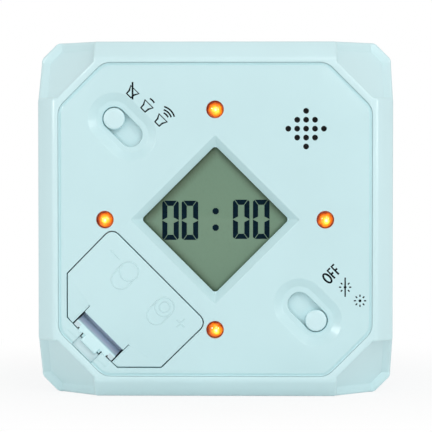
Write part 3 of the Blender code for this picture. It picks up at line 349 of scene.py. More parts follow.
def finish(obj, name, material, body="case", place=Matrix(), replaces=(), smooth=30):
    """Lays a piece in its place, with that place in its mesh, and hangs it on its body."""
    if not obj.data.polygons:
        raise RuntimeError(f"{name} came out empty")
    obj.name = obj.data.name = name
    obj.matrix_basis = place @ obj.matrix_basis
    settle(obj)
    obj.data.materials.clear()
    obj.data.materials.append(material)
    bpy.ops.object.shade_smooth_by_angle(angle=math.radians(smooth))
    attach(obj, body)
    if replaces:
        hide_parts(*replaces)


# Materials. Patterns lie on Object coordinates, which are the timer's own, in metres.


def finish_of(name, colour, roughness, metallic=0.0, **sockets):
    """A Principled material, whose even values stand on the shader itself. Tree and shader come with a new one."""
    material = bpy.data.materials.get(name)
    if material:
        return material, None, None
    material = bpy.data.materials.new(name)
    material.use_nodes = True
    tree = material.node_tree
    shader = tree.nodes["Principled BSDF"]
    shader.inputs["Base Color"].default_value = (*colour, 1)
    shader.inputs["Roughness"].default_value = roughness
    shader.inputs["Metallic"].default_value = metallic
    for socket, value in sockets.items():
        shader.inputs[socket.replace("_", " ")].default_value = value
    return material, tree, shader


def add_node(tree, kind, inputs=None, **settings):
    """Adds a shader node, with its inputs linked to the sockets or set to the values given."""
    node = tree.nodes.new(f"ShaderNode{kind}")
    for key, value in settings.items():
        setattr(node, key, value)
    for key, value in (inputs or {}).items():
        if isinstance(value, bpy.types.NodeSocket):
            tree.links.new(value, node.inputs[key])
        else:
            node.inputs[key].default_value = value
    return node


def maths(tree, operation, *values):
    """A Math node over sockets and numbers."""
    return add_node(tree, "Math", dict(enumerate(values)), operation=operation).outputs["Value"]


def vector_maths(tree, operation, *values, result="Vector"):
    return add_node(tree, "VectorMath", dict(enumerate(values)), operation=operation).outputs[result]


def own_place(tree):
    """Object coordinates, in metres."""
    return add_node(tree, "TexCoord").outputs["Object"]


def map_range(tree, value, kind="LINEAR", **limits):
    """Maps a value from one range to another. Each range is 0 to 1 where nothing else is said."""
    inputs = {"Value": value, **{key.replace("_", " ").title(): limit for key, limit in limits.items()}}
    return add_node(tree, "MapRange", inputs, interpolation_type=kind).outputs["Result"]


def spread(tree, noise, low, high):
    """Maps a noise, which lies mostly between 0.3 and 0.7, to a range."""
    return map_range(tree, noise, from_min=0.3, from_max=0.7, to_min=low, to_max=high)


def pattern(tree, scale, detail=2.0, stretch=(1, 1, 1)):
    """A noise over the piece, at so many waves to the metre."""
    mapping = add_node(tree, "Mapping", {"Vector": own_place(tree), "Scale": stretch})
    inputs = {"Vector": mapping.outputs["Vector"], "Scale": scale, "Detail": detail}
    return add_node(tree, "TexNoise", inputs).outputs["Fac"]


def bump(tree, shader, height, distance, strength):
    node = add_node(tree, "Bump", {"Height": height, "Distance": distance, "Strength": strength})
    tree.links.new(node.outputs["Normal"], shader.inputs["Normal"])


def tint(tree, shader, value, *stops):
    """Colours the piece by a value, through (position, colour) stops in rising order."""
    ramp = add_node(tree, "ValToRGB", {"Fac": value})
    elements = ramp.color_ramp.elements
    elements[0].position, elements[1].position = stops[0][0], stops[-1][0]
    for position, _ in stops[1:-1]:
        elements.new(position)
    for element, (_, colour) in zip(elements, stops):
        element.color = (*colour, 1)
    tree.links.new(ramp.outputs["Color"], shader.inputs["Base Color"])
    return ramp.outputs["Color"]


def mottle(tree, shader, noise, first, second):
    """Colours the piece between two colours by a noise."""
    tint(tree, shader, noise, (0.35, first), (0.65, second))


def shade(colour, factor):
    return tuple(min(c * factor, 1.0) for c in colour)


def moulded(name, colour, roughness, grain, depth):
    """Moulded plastic: a fine sparked grain, a faint flow of colour and a slightly uneven sheen."""
    material, tree, shader = finish_of(name, colour, roughness, IOR=1.5, Coat_Weight=0.3, Coat_Roughness=0.14)
    if tree:
        mottle(tree, shader, pattern(tree, 55, 3), shade(colour, 0.985), shade(colour, 1.012))
        sheen = spread(tree, pattern(tree, 420, 3), roughness - 0.04, roughness + 0.05)
        tree.links.new(sheen, shader.inputs["Roughness"])
        bump(tree, shader, pattern(tree, grain, 2), depth, 0.2)
    return material


def metal(name, colour, roughness):
    """Plated metal, with a fine uneven sheen."""
    material, tree, shader = finish_of(name, colour, roughness, 1.0)
    if tree:
        grain = pattern(tree, 900, 4)
        mottle(tree, shader, pattern(tree, 300, 2), shade(colour, 0.88), colour)
        tree.links.new(spread(tree, grain, roughness * 0.7, roughness * 1.4), shader.inputs["Roughness"])
        bump(tree, shader, grain, 0.004 * MM, 0.35)
    return material


def face_plastic(name, colour):
    """The plastic of the panel, in a colour of its own."""
    return moulded(name, colour, 0.42, 5200, 0.012 * MM)


def dull_plastic(name, colour):
    """The same plastic on a surface that is duller and less finely grained."""
    return moulded(name, colour, 0.5, 3600, 0.01 * MM)


def panel_plastic():
    return face_plastic("panel_plastic_fine", bpy.context.scene.timer_finish.panel_colour)


def shell_plastic():
    return moulded("shell_plastic_fine", bpy.context.scene.timer_finish.shell_colour, 0.40, 4200, 0.006 * MM)


def ink_black():
    colour = bpy.context.scene.timer_finish.ink_colour
    material, tree, shader = finish_of("pad_ink", colour, 0.55, Specular_IOR_Level=0.05)
    if tree:
        mottle(tree, shader, pattern(tree, 2600, 3), colour, shade(colour, 1.5))
        bump(tree, shader, pattern(tree, 9000, 2), 0.004 * MM, 0.4)
    return material


def black_plastic():
    return moulded("black_plastic_fine", (0.022, 0.022, 0.025), 0.46, 3600, 0.012 * MM)


def cradle_plastic():
    return moulded("cradle_plastic_fine", (0.74, 0.77, 0.77), 0.45, 3800, 0.015 * MM)


def striped_rubber():
    return moulded("striped_rubber", (0.28, 0.28, 0.29), 0.8, 2600, 0.03 * MM)


def foam_rubber():
    return moulded("foam_rubber", (0.12, 0.12, 0.13), 0.9, 1900, 0.06 * MM)


def epoxy():
    return moulded("epoxy_drop", (0.012, 0.012, 0.013), 0.22, 900, 0.03 * MM)


def steel():
    return metal("plated_steel_fine", (0.66, 0.66, 0.64), 0.24)


def nickel():
    return metal("nickel_fine", (0.74, 0.71, 0.65), 0.2)


def copper():
    return metal("copper_band", (0.72, 0.38, 0.20), 0.3)


# What a user would change.


class TimerFinish(bpy.types.PropertyGroup):
    """Colours of the plastic, the print and the lamps"""

    shell_colour: FloatVectorProperty(
        name="Shell", description="Colour of the shell", subtype="COLOR", default=(0.650, 0.875, 0.905)
    )
    panel_colour: FloatVectorProperty(
        name="Panel", description="Colour of the panel and the cover", subtype="COLOR", default=(0.595, 0.83, 0.86)
    )
    ink_colour: FloatVectorProperty(
        name="Ink", description="Colour of the signs and numerals", subtype="COLOR", default=(0.004, 0.007, 0.009)
    )
    lamp_colour: FloatVectorProperty(
        name="Lamps", description="Colour of the lamp resin", subtype="COLOR", default=(0.95, 0.16, 0.005)
    )
    lamp_glow: FloatProperty(
        name="Glow", description="Strength of the light in the lamps", default=1.0, min=0.0
    )
    # Channel and Channel edge are painted shade: darker, bluer colours that stand in for the shade down in the latch
    # channel.
    channel_colour: FloatVectorProperty(
        name="Channel", description="Colour deep in the latch channel", subtype="COLOR", default=(0.46, 0.59, 0.75)
    )
    channel_edge: FloatVectorProperty(
        name="Channel edge", description="Colour where the tab rolls down", subtype="COLOR", default=(0.62, 0.67, 0.80)
    )
    ink_height: FloatProperty(
        name="Ink height", description="How far the print stands up", subtype="DISTANCE", default=0.02 * MM
    )


class TimerDisplay(bpy.types.PropertyGroup):
    """What the display shows, and its colours"""

    digit_height: FloatProperty(
        name="Digit height", description="Height of the digits", subtype="DISTANCE", default=6.65 * MM
    )
    digit_width: FloatProperty(
        name="Digit width", description="Width of the digits", subtype="DISTANCE", default=2.80 * MM
    )
    bar: FloatProperty(
        name="Bar", description="Width of one bar of a digit", subtype="DISTANCE", default=0.86 * MM
    )
    gap: FloatProperty(
        name="Gap", description="Gap between the bars of a digit", subtype="DISTANCE", default=0.10 * MM
    )
    reading: StringProperty(name="Reading", description="Digits to show, two on each side", default="0000")
    glass_colour: FloatVectorProperty(
        name="Glass", description="Colour of the display's ground", subtype="COLOR", default=(0.150, 0.262, 0.172)
    )
    # Border is painted shade: the darker colour towards the display's edges, for the shadow of the window's sides.
    border_colour: FloatVectorProperty(
        name="Border", description="Colour of the display's edge", subtype="COLOR", default=(0.065, 0.105, 0.050)
    )
    digit_colour: FloatVectorProperty(
        name="Digits", description="Colour of the digits", subtype="COLOR", default=(0.0015, 0.010, 0.018)
    )


class TimerNumerals(bpy.types.PropertyGroup):
    """Numbers of minutes on the four sides"""

    height: FloatProperty(
        name="Height", description="Height of the side numerals", subtype="DISTANCE", default=20 * MM
    )
    sink: FloatProperty(
        name="Sink", description="How deep the numerals are sunk", subtype="DISTANCE", default=0.15 * MM
    )
    top: IntProperty(name="Top", description="Numeral on the top face", default=5)
    right: IntProperty(name="Right", description="Numeral on the right face", default=10)
    bottom: IntProperty(name="Bottom", description="Numeral on the underside", default=15)
    left: IntProperty(name="Left", description="Numeral on the left face", default=30)


class TimerStage(bpy.types.PropertyGroup):
    """Lights, floor and camera"""

    key: FloatProperty(name="Key", description="Power of the main light", subtype="POWER", default=2.2)
    glint: FloatProperty(
        name="Glint", description="Power of the side lights, seen in reflections", subtype="POWER", default=2.5
    )
    fill: FloatProperty(name="Fill", description="Strength of the light all round", default=0.70)
    floor_colour: FloatVectorProperty(
        name="Floor", description="Colour of the floor", subtype="COLOR", default=(0.9, 0.9, 0.9)
    )
    shadow: FloatProperty(name="Shadow", description="How strong the shadow on the floor shows", default=0.15)
    distance: FloatProperty(
        name="Distance", description="From the camera to the display face", subtype="DISTANCE", default=0.374
    )
    view_width: FloatProperty(
        name="View width", description="What the camera sees across the face", subtype="DISTANCE", default=72.83 * MM
    )
    turn: FloatProperty(
        name="Turn", description="Camera's turn round the cube", subtype="ANGLE", default=math.radians(1.15)
    )
    tilt: FloatProperty(
        name="Tilt", description="Camera's angle above the middle", subtype="ANGLE", default=math.radians(1.8)
    )


# The pieces.


def octagon_reach(x, y):
    """How far out a place on the face is, measured across the octagon of the panel."""
    return max(abs(x), abs(y), (abs(x) + abs(y)) * ROOT_HALF - CORNER_CUT)


def at_face(place):
    """Whether a place in the face frame or the diagonal frame lies on the front of the panel."""
    return abs(place.z - PANEL_FACE) < NEAR


class TIMER_OT_shell(bpy.types.Operator):
    """Shell with the four sunk side numerals"""

    bl_idname = "timer.shell"
    bl_label = "Shell"

    def execute(self, context):
        shell = copy_of("cube_shell")
        look = context.scene.timer_numerals

        def in_pocket(place):
            return min(abs(place.x), abs(place.y)) > 16 * MM and 15 * MM < place.z < HALF - 0.5 * MM

        def rim(place):
            return HALF - place.z < NEAR and 26.4 * MM < octagon_reach(place.x, place.y) < 26.7 * MM

        soften(shell, FACE, rim, 0.12 * MM, 2)
        soften(shell, FACE, in_pocket, 0.45 * MM, 3, least=0.5)
        for _, number, turn in side_numbers():
            combine(shell, numeral(number, look.height, 2 * look.sink, turn, HALF))
        finish(shell, "shell_body", shell_plastic(), replaces=["cube_shell"])
        return {"FINISHED"}


def pull_in(obj, gap):
    """Draws the two flat sides and the foot of the cover's outline in a little, on a piece that stands a gap off it."""
    side = COVER_SIDE + gap
    foot = COVER_FOOT + gap
    low = HALF - side
    inward = 0.15 * MM
    depth = 0.5 * MM
    curve = 0.55 * MM
    blunt = 5 * MM

    def in_cover(co):
        place = INTO_DIAGONAL @ co
        return -foot - NEAR < place.y < -COVER_TOP and abs(place.x) < COVER_HALF

    def at_foot(co, way):
        place = INTO_DIAGONAL @ co
        stretch = 0 if abs(place.x) <= blunt else math.copysign(1, place.x)
        return in_cover(co) and place.y < -foot + curve and stretch == way

    slide(obj, lambda co: at_foot(co, -1), (0, 0, FOOT_RAISED / ROOT_HALF))
    slide(obj, lambda co: at_foot(co, 1), (FOOT_RAISED / ROOT_HALF, 0, 0))
    slide(obj, lambda co: at_foot(co, 0), (FOOT_RAISED * ROOT_HALF, 0, FOOT_RAISED * ROOT_HALF))
    slide(obj, lambda co: in_cover(co) and -side - NEAR < co.x < -side + depth, (inward, 0, 0))
    slide(obj, lambda co: in_cover(co) and low - NEAR < co.z < low + depth, (0, 0, inward))


class TIMER_OT_panel(bpy.types.Operator):
    """Display panel with soft finger dishes, window and edges, and the blocks beside the catch"""

    bl_idname = "timer.panel"
    bl_label = "Display panel"

    def execute(self, context):
        panel = copy_of("display_panel")
        dish, dish_depth = 22.25 * MM, 0.9 * MM
        groove_depth, lift, bank_lift = 0.5 * MM, 0.10 * MM, 0.08 * MM
        inner, wall_foot, bank, outer = 25.85 * MM, 26.2 * MM, 26.35 * MM, 26.7 * MM
        lean = 1.0092

        def near_dish(place):
            return abs(abs(place.x) - dish) < 6.6 * MM and abs(place.y) < 4.6 * MM

        def dish_rim(place):
            return near_dish(place) and at_face(place)

        def dish_foot(place):
            return near_dish(place) and abs(place.z - PANEL_FACE + dish_depth) < NEAR

        def window_mitre(place):
            return abs(abs(place.x) - abs(place.y)) < 5 * NEAR and 8.6 * MM < abs(place.x) < 10.3 * MM

        def window_rim(place):
            return at_face(place) and max(abs(place.x), abs(place.y)) < 10.4 * MM

        def cover_opening(place):
            inside = -31.5 * MM < place.y < -13.0 * MM and abs(place.x) < COVER_HALF
            return at_face(place) and inside and (abs(place.x) + abs(place.y)) * ROOT_HALF < 25.6 * MM

        def groove(co, low, high, depth=groove_depth):
            return low < octagon_reach(co.x, co.z - HALF) < high and abs(HALF + co.y - depth) < NEAR

        pull_in(panel, 0.2 * MM)
        soften(panel, DIAGONAL, dish_rim, 0.45 * MM, 4)
        soften(panel, DIAGONAL, dish_foot, 0.30 * MM, 4)
        soften(panel, DIAGONAL, window_mitre, 0.7 * MM, 5, 3 * MM)
        soften(panel, DIAGONAL, window_rim, 0.3 * MM, 4)
        soften(panel, DIAGONAL, cover_opening, 0.16 * MM, 3)
        # The groove round the panel: its inner wall leans, and its floor rises, and rises more towards the rim.
        spread_out(panel, lambda co: groove(co, inner, wall_foot), lean, (0, 0, HALF))
        slide(panel, lambda co: groove(co, inner, outer), (0, -lift, 0))
        slide(panel, lambda co: groove(co, bank, outer, groove_depth - lift), (0, -bank_lift, 0))
        finish(panel, "panel_face", panel_plastic(), replaces=["display_panel"])
        blocks = face_blocks((2.1, 1.1, 0.26), (3.5, -30.25, -0.05), 0.1, 3)
        finish(blocks, "catch_blocks", panel_plastic(), place=DIAGONAL)
        return {"FINISHED"}


class TIMER_OT_cover(bpy.types.Operator):
    """Battery cover with the raised cell signs"""

    bl_idname = "timer.cover"
    bl_label = "Battery cover"

    def execute(self, context):
        cover = copy_of("battery_cover")
        pull_in(cover, 0)
        soften(cover, DIAGONAL, at_face, 0.1 * MM, 3)
        finish(cover, "cover_plate", panel_plastic(), "cover", replaces=["battery_cover"])

        width, radius, top, foot = 0.24, 1.62, -16.45, -18.4
        minus = ((-8.8, -16.1), (-6.6, -16.1))
        plus = ((7.3, -16.5), (9.2, -16.5)), ((8.25, -17.45), (8.25, -15.55))
        lines = []
        for x, nub in ((-4.1, 0), (4.4, 0.9)):
            lines.append(line(ring((x, top), radius, 40), width, True))
            lines.append(line(arc((x, foot), radius, -180, 0, 24), width))
            lines += [line([(x + side, top), (x + side, foot)], width) for side in (-radius, radius)]
            if nub:
                lines.append(line(ring((x, top), nub, 28), width, True))
        lines += [line(ends, width) for ends in (minus, *plus)]
        # Painted shade: the raised signs are the cover's own plastic, drawn six hundredths darker for the shade along
        # their lines.
        relief = dull_plastic("cover_relief_painted_shade", shade(context.scene.timer_finish.panel_colour, 0.94))
        finish(ink(lines, 0.09 * MM, PANEL_FACE), "cover_signs", relief, "cover", place=DIAGONAL)
        return {"FINISHED"}


def channel_plastic():
    """The latch's thin curved leg: the panel's plastic at the tab, and painted shade down in the channel, where the
    colour turns a deeper blue.
    """
    look = bpy.context.scene.timer_finish
    material, tree, shader = finish_of("latch_hollow_painted_shade", look.channel_colour, 0.5)
    if tree:
        # Painted shade: the colour darkens and turns blue from the tab's edge down into the channel, and a little
        # greener near the wall.
        up = vector_maths(tree, "DOT_PRODUCT", own_place(tree), (ROOT_HALF, 0, ROOT_HALF), result="Value")
        middle = HALF * ROOT_HALF
        reach = map_range(tree, up, from_min=middle - 28.35 * MM, from_max=middle - 26.8 * MM)
        upper = (0.45, 0.61, 0.73)
        stops = (0.0, look.panel_colour), (0.22, look.channel_edge), (0.6, look.channel_colour), (1.0, upper)
        tint(tree, shader, reach, *stops)
        bump(tree, shader, pattern(tree, 3600, 2), 0.01 * MM, 0.2)
    return material


def strip(profile):
    """A thin curved plate as wide as the latch, through (y, z) places of the diagonal frame.

    They are in millimetres, with z counted from the face of the panel.
    """
    (y, z), *rest = [(y * MM, PANEL_FACE + z * MM) for y, z in profile]
    plate = primitive("plane", size=1, location=(0, y, z))
    edit(plate, "SELECT")
    bpy.ops.transform.resize(value=(8.8 * MM, 0, 1), center_override=(0, y, z))
    bpy.ops.mesh.remove_doubles(threshold=0.001 * MM)
    for next_y, next_z in rest:
        bpy.ops.mesh.extrude_region_move(TRANSFORM_OT_translate={"value": (0, next_y - y, next_z - z)})
        y, z = next_y, next_z
    close_edit()
    modify(plate, "SOLIDIFY", thickness=0.12 * MM, offset=0)
    return plate


class TIMER_OT_latch(bpy.types.Operator):
    """Spring latch of the cover"""

    bl_idname = "timer.latch"
    bl_label = "Cover latch"

    def execute(self, context):
        # Painted light and shade: the tab and nose are a tenth lighter than the panel for the light they catch, and the
        # sunk catch, the wall and the shoulders are darker, bluer copies of the same plastic for the shade they lie in.
        plastic = face_plastic("latch_plastic_painted_light", shade(context.scene.timer_finish.panel_colour, 1.1))
        step = face_plastic("latch_catch_painted_shade", (0.63, 0.79, 0.82))
        wall = dull_plastic("latch_wall_painted_shade", (0.47, 0.59, 0.75))
        pale = dull_plastic("latch_shoulder_painted_shade", (0.585, 0.74, 0.79))
        tab = -28.3 * MM

        def tab_edge(place):
            return at_face(place) and abs(place.y - tab) < NEAR

        latch = copy_of("cover_latch")
        raised = FOOT_RAISED * ROOT_HALF
        slide(latch, lambda co: abs((INTO_DIAGONAL @ co).y + COVER_FOOT) < 2 * NEAR, (raised, 0, raised))
        soften(latch, DIAGONAL, tab_edge, 0.32 * MM, 6)
        finish(latch, "latch_tab", plastic, "latch", replaces=["cover_latch"])

        nose = face_blocks((3.4, 1.8, 0.6), (0, -29.65, -0.28), 0.22, 4)
        skirts = face_blocks((0.9, 0.25, 0.5), (2.8, -29.39, -0.27), 0.03)
        catch = face_blocks((4.54, 1.9, 0.4), (0, -31.14, -0.85), 0.04)
        fillet = strip([(-28.32, -0.30), (-28.28, -0.75), (-28.12, -1.3), (-27.85, -1.8), (-27.5, -2.2)])
        for name, shape, material, body in (
            ("latch_nose", join(nose, skirts), plastic, "latch"),
            ("latch_catch", catch, step, "latch"),
            ("latch_fillet", fillet, channel_plastic(), "latch"),
            ("latch_web", strip([(-26.62, -0.5), (-26.65, -2.7), (-27.7, -2.95)]), wall, "cover"),
            ("latch_slit_sides", face_blocks((0.2, 4.0, 1.5), (4.8, -27.35, -0.8), 0.03), panel_plastic(), "cover"),
            ("latch_shoulders", face_blocks((1.02, 0.8, 0.1), (3.9, -28.93, -0.03), 0.02), pale, "latch"),
            # Painted shade: small black squares at the tab's corners stand for the shade in the tiny gaps there.
            ("latch_corner_shadows", face_blocks((0.26, 0.26, 0.1), (3.38, -29.23, -0.02), 0.02), black_plastic(), "latch"),
        ):
            finish(shape, name, material, body, place=DIAGONAL)
        return {"FINISHED"}


class TIMER_OT_knobs(bpy.types.Operator):
    """The two sliding knobs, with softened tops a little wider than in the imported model"""

    bl_idname = "timer.knobs"
    bl_label = "Knobs"

    def execute(self, context):
        head, wider = 0.6 * MM, 1.02
        for switch in ("volume", "mode"):
            node = f"{switch}_knob"
            knob = copy_of(node)
            x, y, top, rear = extent(node)
            middle = (x, -(top + rear) / 2, y + HALF)
            soften(knob, DIAGONAL, lambda place: abs(place.z - top) < NEAR, 0.35 * MM, 4)
            spread_out(knob, lambda co: -co.y > top - head, wider, middle)
            finish(knob, f"{node}_plate", shell_plastic(), f"{switch}_slider", replaces=[node])
        return {"FINISHED"}


# Colours of a lit lamp from its hot middle to its rim.
LAMP_STOPS = (
    (0.00, (1.0, 0.93, 0.45)),
    (0.16, (1.0, 0.72, 0.05)),
    (0.40, (0.90, 0.33, 0.0)),
    (0.70, (0.60, 0.11, 0.0)),
    (1.00, (0.20, 0.015, 0.0)),
)


def lamp_resin(name, x, y):
    """Amber resin, lit from inside: yellow-white near the middle and a dark orange-red at the rim."""
    look = bpy.context.scene.timer_finish
    material, tree, shader = finish_of(name, look.lamp_colour, 0.12, Coat_Weight=0.6, Coat_Roughness=0.05)
    if tree:
        middle = (x + 0.12 * MM, 0, y + HALF - 0.1 * MM)
        offset = vector_maths(tree, "SUBTRACT", own_place(tree), middle)
        across = vector_maths(tree, "MULTIPLY", offset, (1, 0, 1))
        reach = map_range(tree, vector_maths(tree, "LENGTH", across, result="Value"), from_max=1.45 * MM)
        uneven = maths(tree, "ADD", reach, spread(tree, pattern(tree, 1300, 1), -0.13, 0.13))
        tree.links.new(tint(tree, shader, uneven, *LAMP_STOPS), shader.inputs["Emission Color"])
        shader.inputs["Emission Strength"].default_value = look.lamp_glow
    return material


class TIMER_OT_lamps(bpy.types.Operator):
    """Four amber lamps with domed lenses, collars and tinned legs"""

    bl_idname = "timer.lamps"
    bl_label = "Lamps"

    def execute(self, context):
        lamps = ("led_top", "led_left", "led_right", "led_bottom")
        radius, collar, edge = 1.35 * MM, 1.7 * MM, 0.05 * MM
        collar_foot, collar_top, leg_top = -5.35 * MM, -4.6 * MM, -5.0 * MM
        dome = [(radius * math.cos(a), radius * (math.sin(a) - 1)) for a in [math.pi / 20 * i for i in range(10)]]
        steps = [(collar, collar_foot), (collar, collar_top - edge), (collar - edge, collar_top), (radius, collar_top)]
        lens = turned([*steps, *dome, (0, 0)], 40)

        board = BOARD_FRONT - extent(lamps[0])[2]
        leg, clearance = 0.45 * MM, 0.6 * MM
        size = (leg, leg, leg_top - board - clearance)
        legs = twins(box(size, (-1.0 * MM, 0, (board + leg_top) / 2), 0.06 * MM), 2.0 * MM)
        for name in lamps:
            x, y, top, _ = extent(name)
            place = FACE @ Matrix.Translation((x, y, top))
            resin = lamp_resin(f"{name}_resin", x, y)
            finish(own_copy(lens), f"{name}_lens", resin, "case", place, [name], 40)
            finish(own_copy(legs), f"{name}_legs", steel(), "case", place)
        discard(lens, legs)
        return {"FINISHED"}


# The bars that light up for each digit, named a to g from the top, clockwise and with the middle one last.
BARS = dict(zip("0123456789", "abcdef bc abged abgcd fgbc afgcd afgedc abc abcdefg abcdfg".split()))


def bars_of(digit, centre, look):
    """The lit bars of a digit, each with mitred ends."""
    half_w, half_h, bar, gap = look.digit_width / 2, look.digit_height / 2, look.bar, look.gap
    x, y = centre
    cut = 0.28 * bar
    mitre = 0.7 * gap

    def side_bar(side, low, high):
        outer, inner = side * half_w, side * (half_w - bar)
        outer_low = low + (cut if low < -gap else 0)
        outer_high = high - (cut if high > gap else 0)
        inner_low = low + (bar if low < -gap else bar / 2)
        inner_high = high - (bar if high > gap else bar / 2)
        edge = outer - side * cut
        points = [(outer, outer_low), (outer, outer_high)]
        if high > gap:
            points.append((edge, high))
        points += [(inner, inner_high), (inner, inner_low)]
        if low < -gap:
            points.append((edge, low))
        return points

    def end_bar(side):
        outer, inner = side * half_h, side * (half_h - bar)
        reach = half_w - gap - cut
        return [(-reach, outer), (reach, outer), (reach - bar + cut, inner), (-reach + bar - cut, inner)]

    tip, shoulder, rise = half_w - bar - gap, half_w - 1.5 * bar, bar / 2
    middle = [(-tip, 0), (-shoulder, rise), (shoulder, rise), (tip, 0), (shoulder, -rise), (-shoulder, -rise)]
    upper, lower = (gap / 2, half_h - mitre), (-half_h + mitre, -gap / 2)
    shapes = {
        "a": end_bar(1),
        "b": side_bar(1, *upper),
        "c": side_bar(1, *lower),
        "d": end_bar(-1),
        "e": side_bar(-1, *lower),
        "f": side_bar(-1, *upper),
        "g": middle,
    }
    return [[(x + px, y + py) for px, py in shapes[key]] for key in BARS[digit]]


def window_distance(tree, offset):
    """How far a place is from the window's middle towards one of its four sides, which stand at 45 degrees."""
    place = add_node(tree, "SeparateXYZ", {"Vector": own_place(tree)}).outputs
    reaches = [
        maths(tree, "ABSOLUTE", maths(tree, "SUBTRACT", place[axis], middle))
        for axis, middle in (("X", offset), ("Z", HALF - offset))
    ]
    return maths(tree, "MULTIPLY", maths(tree, "ADD", *reaches), ROOT_HALF)


def display_ground():
    """The display's ground: a grey-green film with a fine silky grain under glossy glass, with painted shade darkening
    it towards the window's edges.
    """
    look = bpy.context.scene.timer_display
    gloss = {"Coat_Weight": 0.7, "Coat_Roughness": 0.04, "Specular_IOR_Level": 0.3}
    material, tree, shader = finish_of("display_ground", look.glass_colour, 0.38, **gloss)
    if tree:
        silk = pattern(tree, 4200, 3, (1, 1, 0.6))
        bump(tree, shader, silk, 0.004 * MM, 0.3)
        # Painted shade: the film darkens towards the window's edges, for the shadow that the window's sides cast on it.
        edge = window_distance(tree, 0.35 * MM)
        band = map_range(tree, edge, "SMOOTHSTEP", from_min=7.3 * MM, from_max=9.2 * MM, to_max=0.8)
        edge_shade_and_grain = maths(tree, "ADD", band, spread(tree, silk, -0.06, 0.06))
        tint(tree, shader, edge_shade_and_grain, (0.0, look.glass_colour), (1.0, look.border_colour))
    return material


def digit_film():
    """The dark film of the lit digits."""
    colour = bpy.context.scene.timer_display.digit_colour
    material, tree, shader = finish_of("display_digits", colour, 0.5, Specular_IOR_Level=0.03)
    if tree:
        mottle(tree, shader, pattern(tree, 1800, 2), colour, shade(colour, 1.5))
    return material


# Middles of the four digits and of the two dots between them on the face, in millimetres.
DIGIT_PLACES = ((-7.60, -0.18), (-4.30, -0.18), (4.40, 0), (7.80, 0))
DOT_PLACES = ((0.06, 1.38), (0.06, -1.42))


class TIMER_OT_display(bpy.types.Operator):
    """Display cell with its digits, and the narrow ledge of its upper glass"""

    bl_idname = "timer.display"
    bl_label = "Display"

    def execute(self, context):
        look = context.scene.timer_display
        side, ledge, rounding = 20.4 * MM, 2.2 * MM, 0.08 * MM
        pane = (GLASS_FRONT - GLASS_REAR) / 2
        cell = box((side, side, pane), (0, 0, GLASS_FRONT - 1.5 * pane), rounding)
        upper = box((side, side - ledge, pane), (0, 0, GLASS_FRONT - 0.5 * pane), rounding)
        combine(cell, upper, "UNION")
        finish(cell, "display_cell", display_ground(), "case", DIAGONAL, ["lcd_glass"])

        shapes = []
        for digit, (x, y) in zip(look.reading, DIGIT_PLACES):
            shapes += bars_of(digit, (x * MM, y * MM), look)
        dot = 0.576 * MM
        for x, y in DOT_PLACES:
            shapes.append(arc((x * MM, y * MM), dot, 22.5, 337.5, 7))
        thick, over = 0.03 * MM, 0.02 * MM
        digits = flat_shapes(shapes, thick)
        digits.location.z = GLASS_FRONT + over
        finish(digits, "display_digits", digit_film(), "case", FACE)
        return {"FINISHED"}


def in_diagonal(x, y):
    """A direction of the face frame, in the diagonal frame."""
    return Vector(((x - y) * ROOT_HALF, (x + y) * ROOT_HALF))


def upright(u, v, reach):
    """A line that stands upright on the face, through a place in the diagonal frame."""
    return [Vector((u, v)) + in_diagonal(0, way * reach) for way in (-1, 1)]


# Outline of a loudspeaker that faces up to the right, round its place in the diagonal frame, in millimetres.
SPEAKER = ((-0.51, -0.72), (-0.55, -0.04), (-0.96, 0.72), (0.96, 0.72), (0.55, -0.04), (0.51, -0.72))

# Places of the two sun signs in the same way, and whether the sign has a bar through it.
SUNS = ((23.56, 7.48, True), (26.95, 7.63, False))


class TIMER_OT_signs(bpy.types.Operator):
    """Printed signs beside the switches"""

    bl_idname = "timer.signs"
    bl_label = "Printed signs"

    def execute(self, context):
        height = context.scene.timer_finish.ink_height
        width, dot = 0.30, 0.24 * MM
        lines = [*self.speakers(width), *self.word(1.1 * width), *self.suns(0.75 * width, 0.8 * width)]
        dots = flat_shapes([ring((u * MM, v * MM), dot, 20) for u, v, _ in SUNS], 2 * height)
        dots.location.z = PANEL_FACE
        settle(dots)
        signs = join(ink(lines, height, PANEL_FACE), dots)
        finish(signs, "printed_signs", ink_black(), place=DIAGONAL)
        return {"FINISHED"}

    def speakers(self, width):
        """A silent, a soft and a loud loudspeaker."""
        row, silent, soft, loud = 5.23, -25.06, -21.67, -18.32
        lines = [line([(u + x, row + y) for x, y in SPEAKER], width, True) for u in (silent, soft, loud)]
        lines.append(line(upright(silent - 0.13, row + 0.31, 1.47), width))
        for u, radius, half_angle in ((soft, 1.53, 20), (loud, 1.47, 21), (loud, 1.97, 27), (loud, 2.50, 29)):
            lines.append(line(arc((u, row), radius, 90 - half_angle, 90 + half_angle), 0.9 * width))
        return lines

    def word(self, width):
        """The word OFF, written across the diagonal."""
        middle, half = 20.38, 0.90
        foot, head, waist = middle + half, middle - half, middle - 0.02
        oval, oval_half = 6.42, 0.47
        angles = [math.pi / 16 * i for i in range(32)]
        lines = [line([(middle + half * math.cos(a), oval + oval_half * math.sin(a)) for a in angles], width, True)]
        for stem in (7.32, 8.26):
            lines.append(line([(foot, stem), (head, stem), (head, stem + 0.62)], width))
            lines.append(line([(waist, stem), (waist, stem + 0.5)], width))
        return lines

    def suns(self, ray_width, bar_width):
        """Eight rays round each sun, of which a bar through it takes the place of the upright two."""
        lines = []
        ray, bar = (0.66, 1.04), 1.62
        for u, v, barred in SUNS:
            for k in range(8):
                way = in_diagonal(math.cos(math.pi / 4 * k), math.sin(math.pi / 4 * k))
                if not (barred and k in (2, 6)):
                    lines.append(line([Vector((u, v)) + way * reach for reach in ray], ray_width))
            if barred:
                lines.append(line(upright(u, v, bar), bar_width))
        return lines


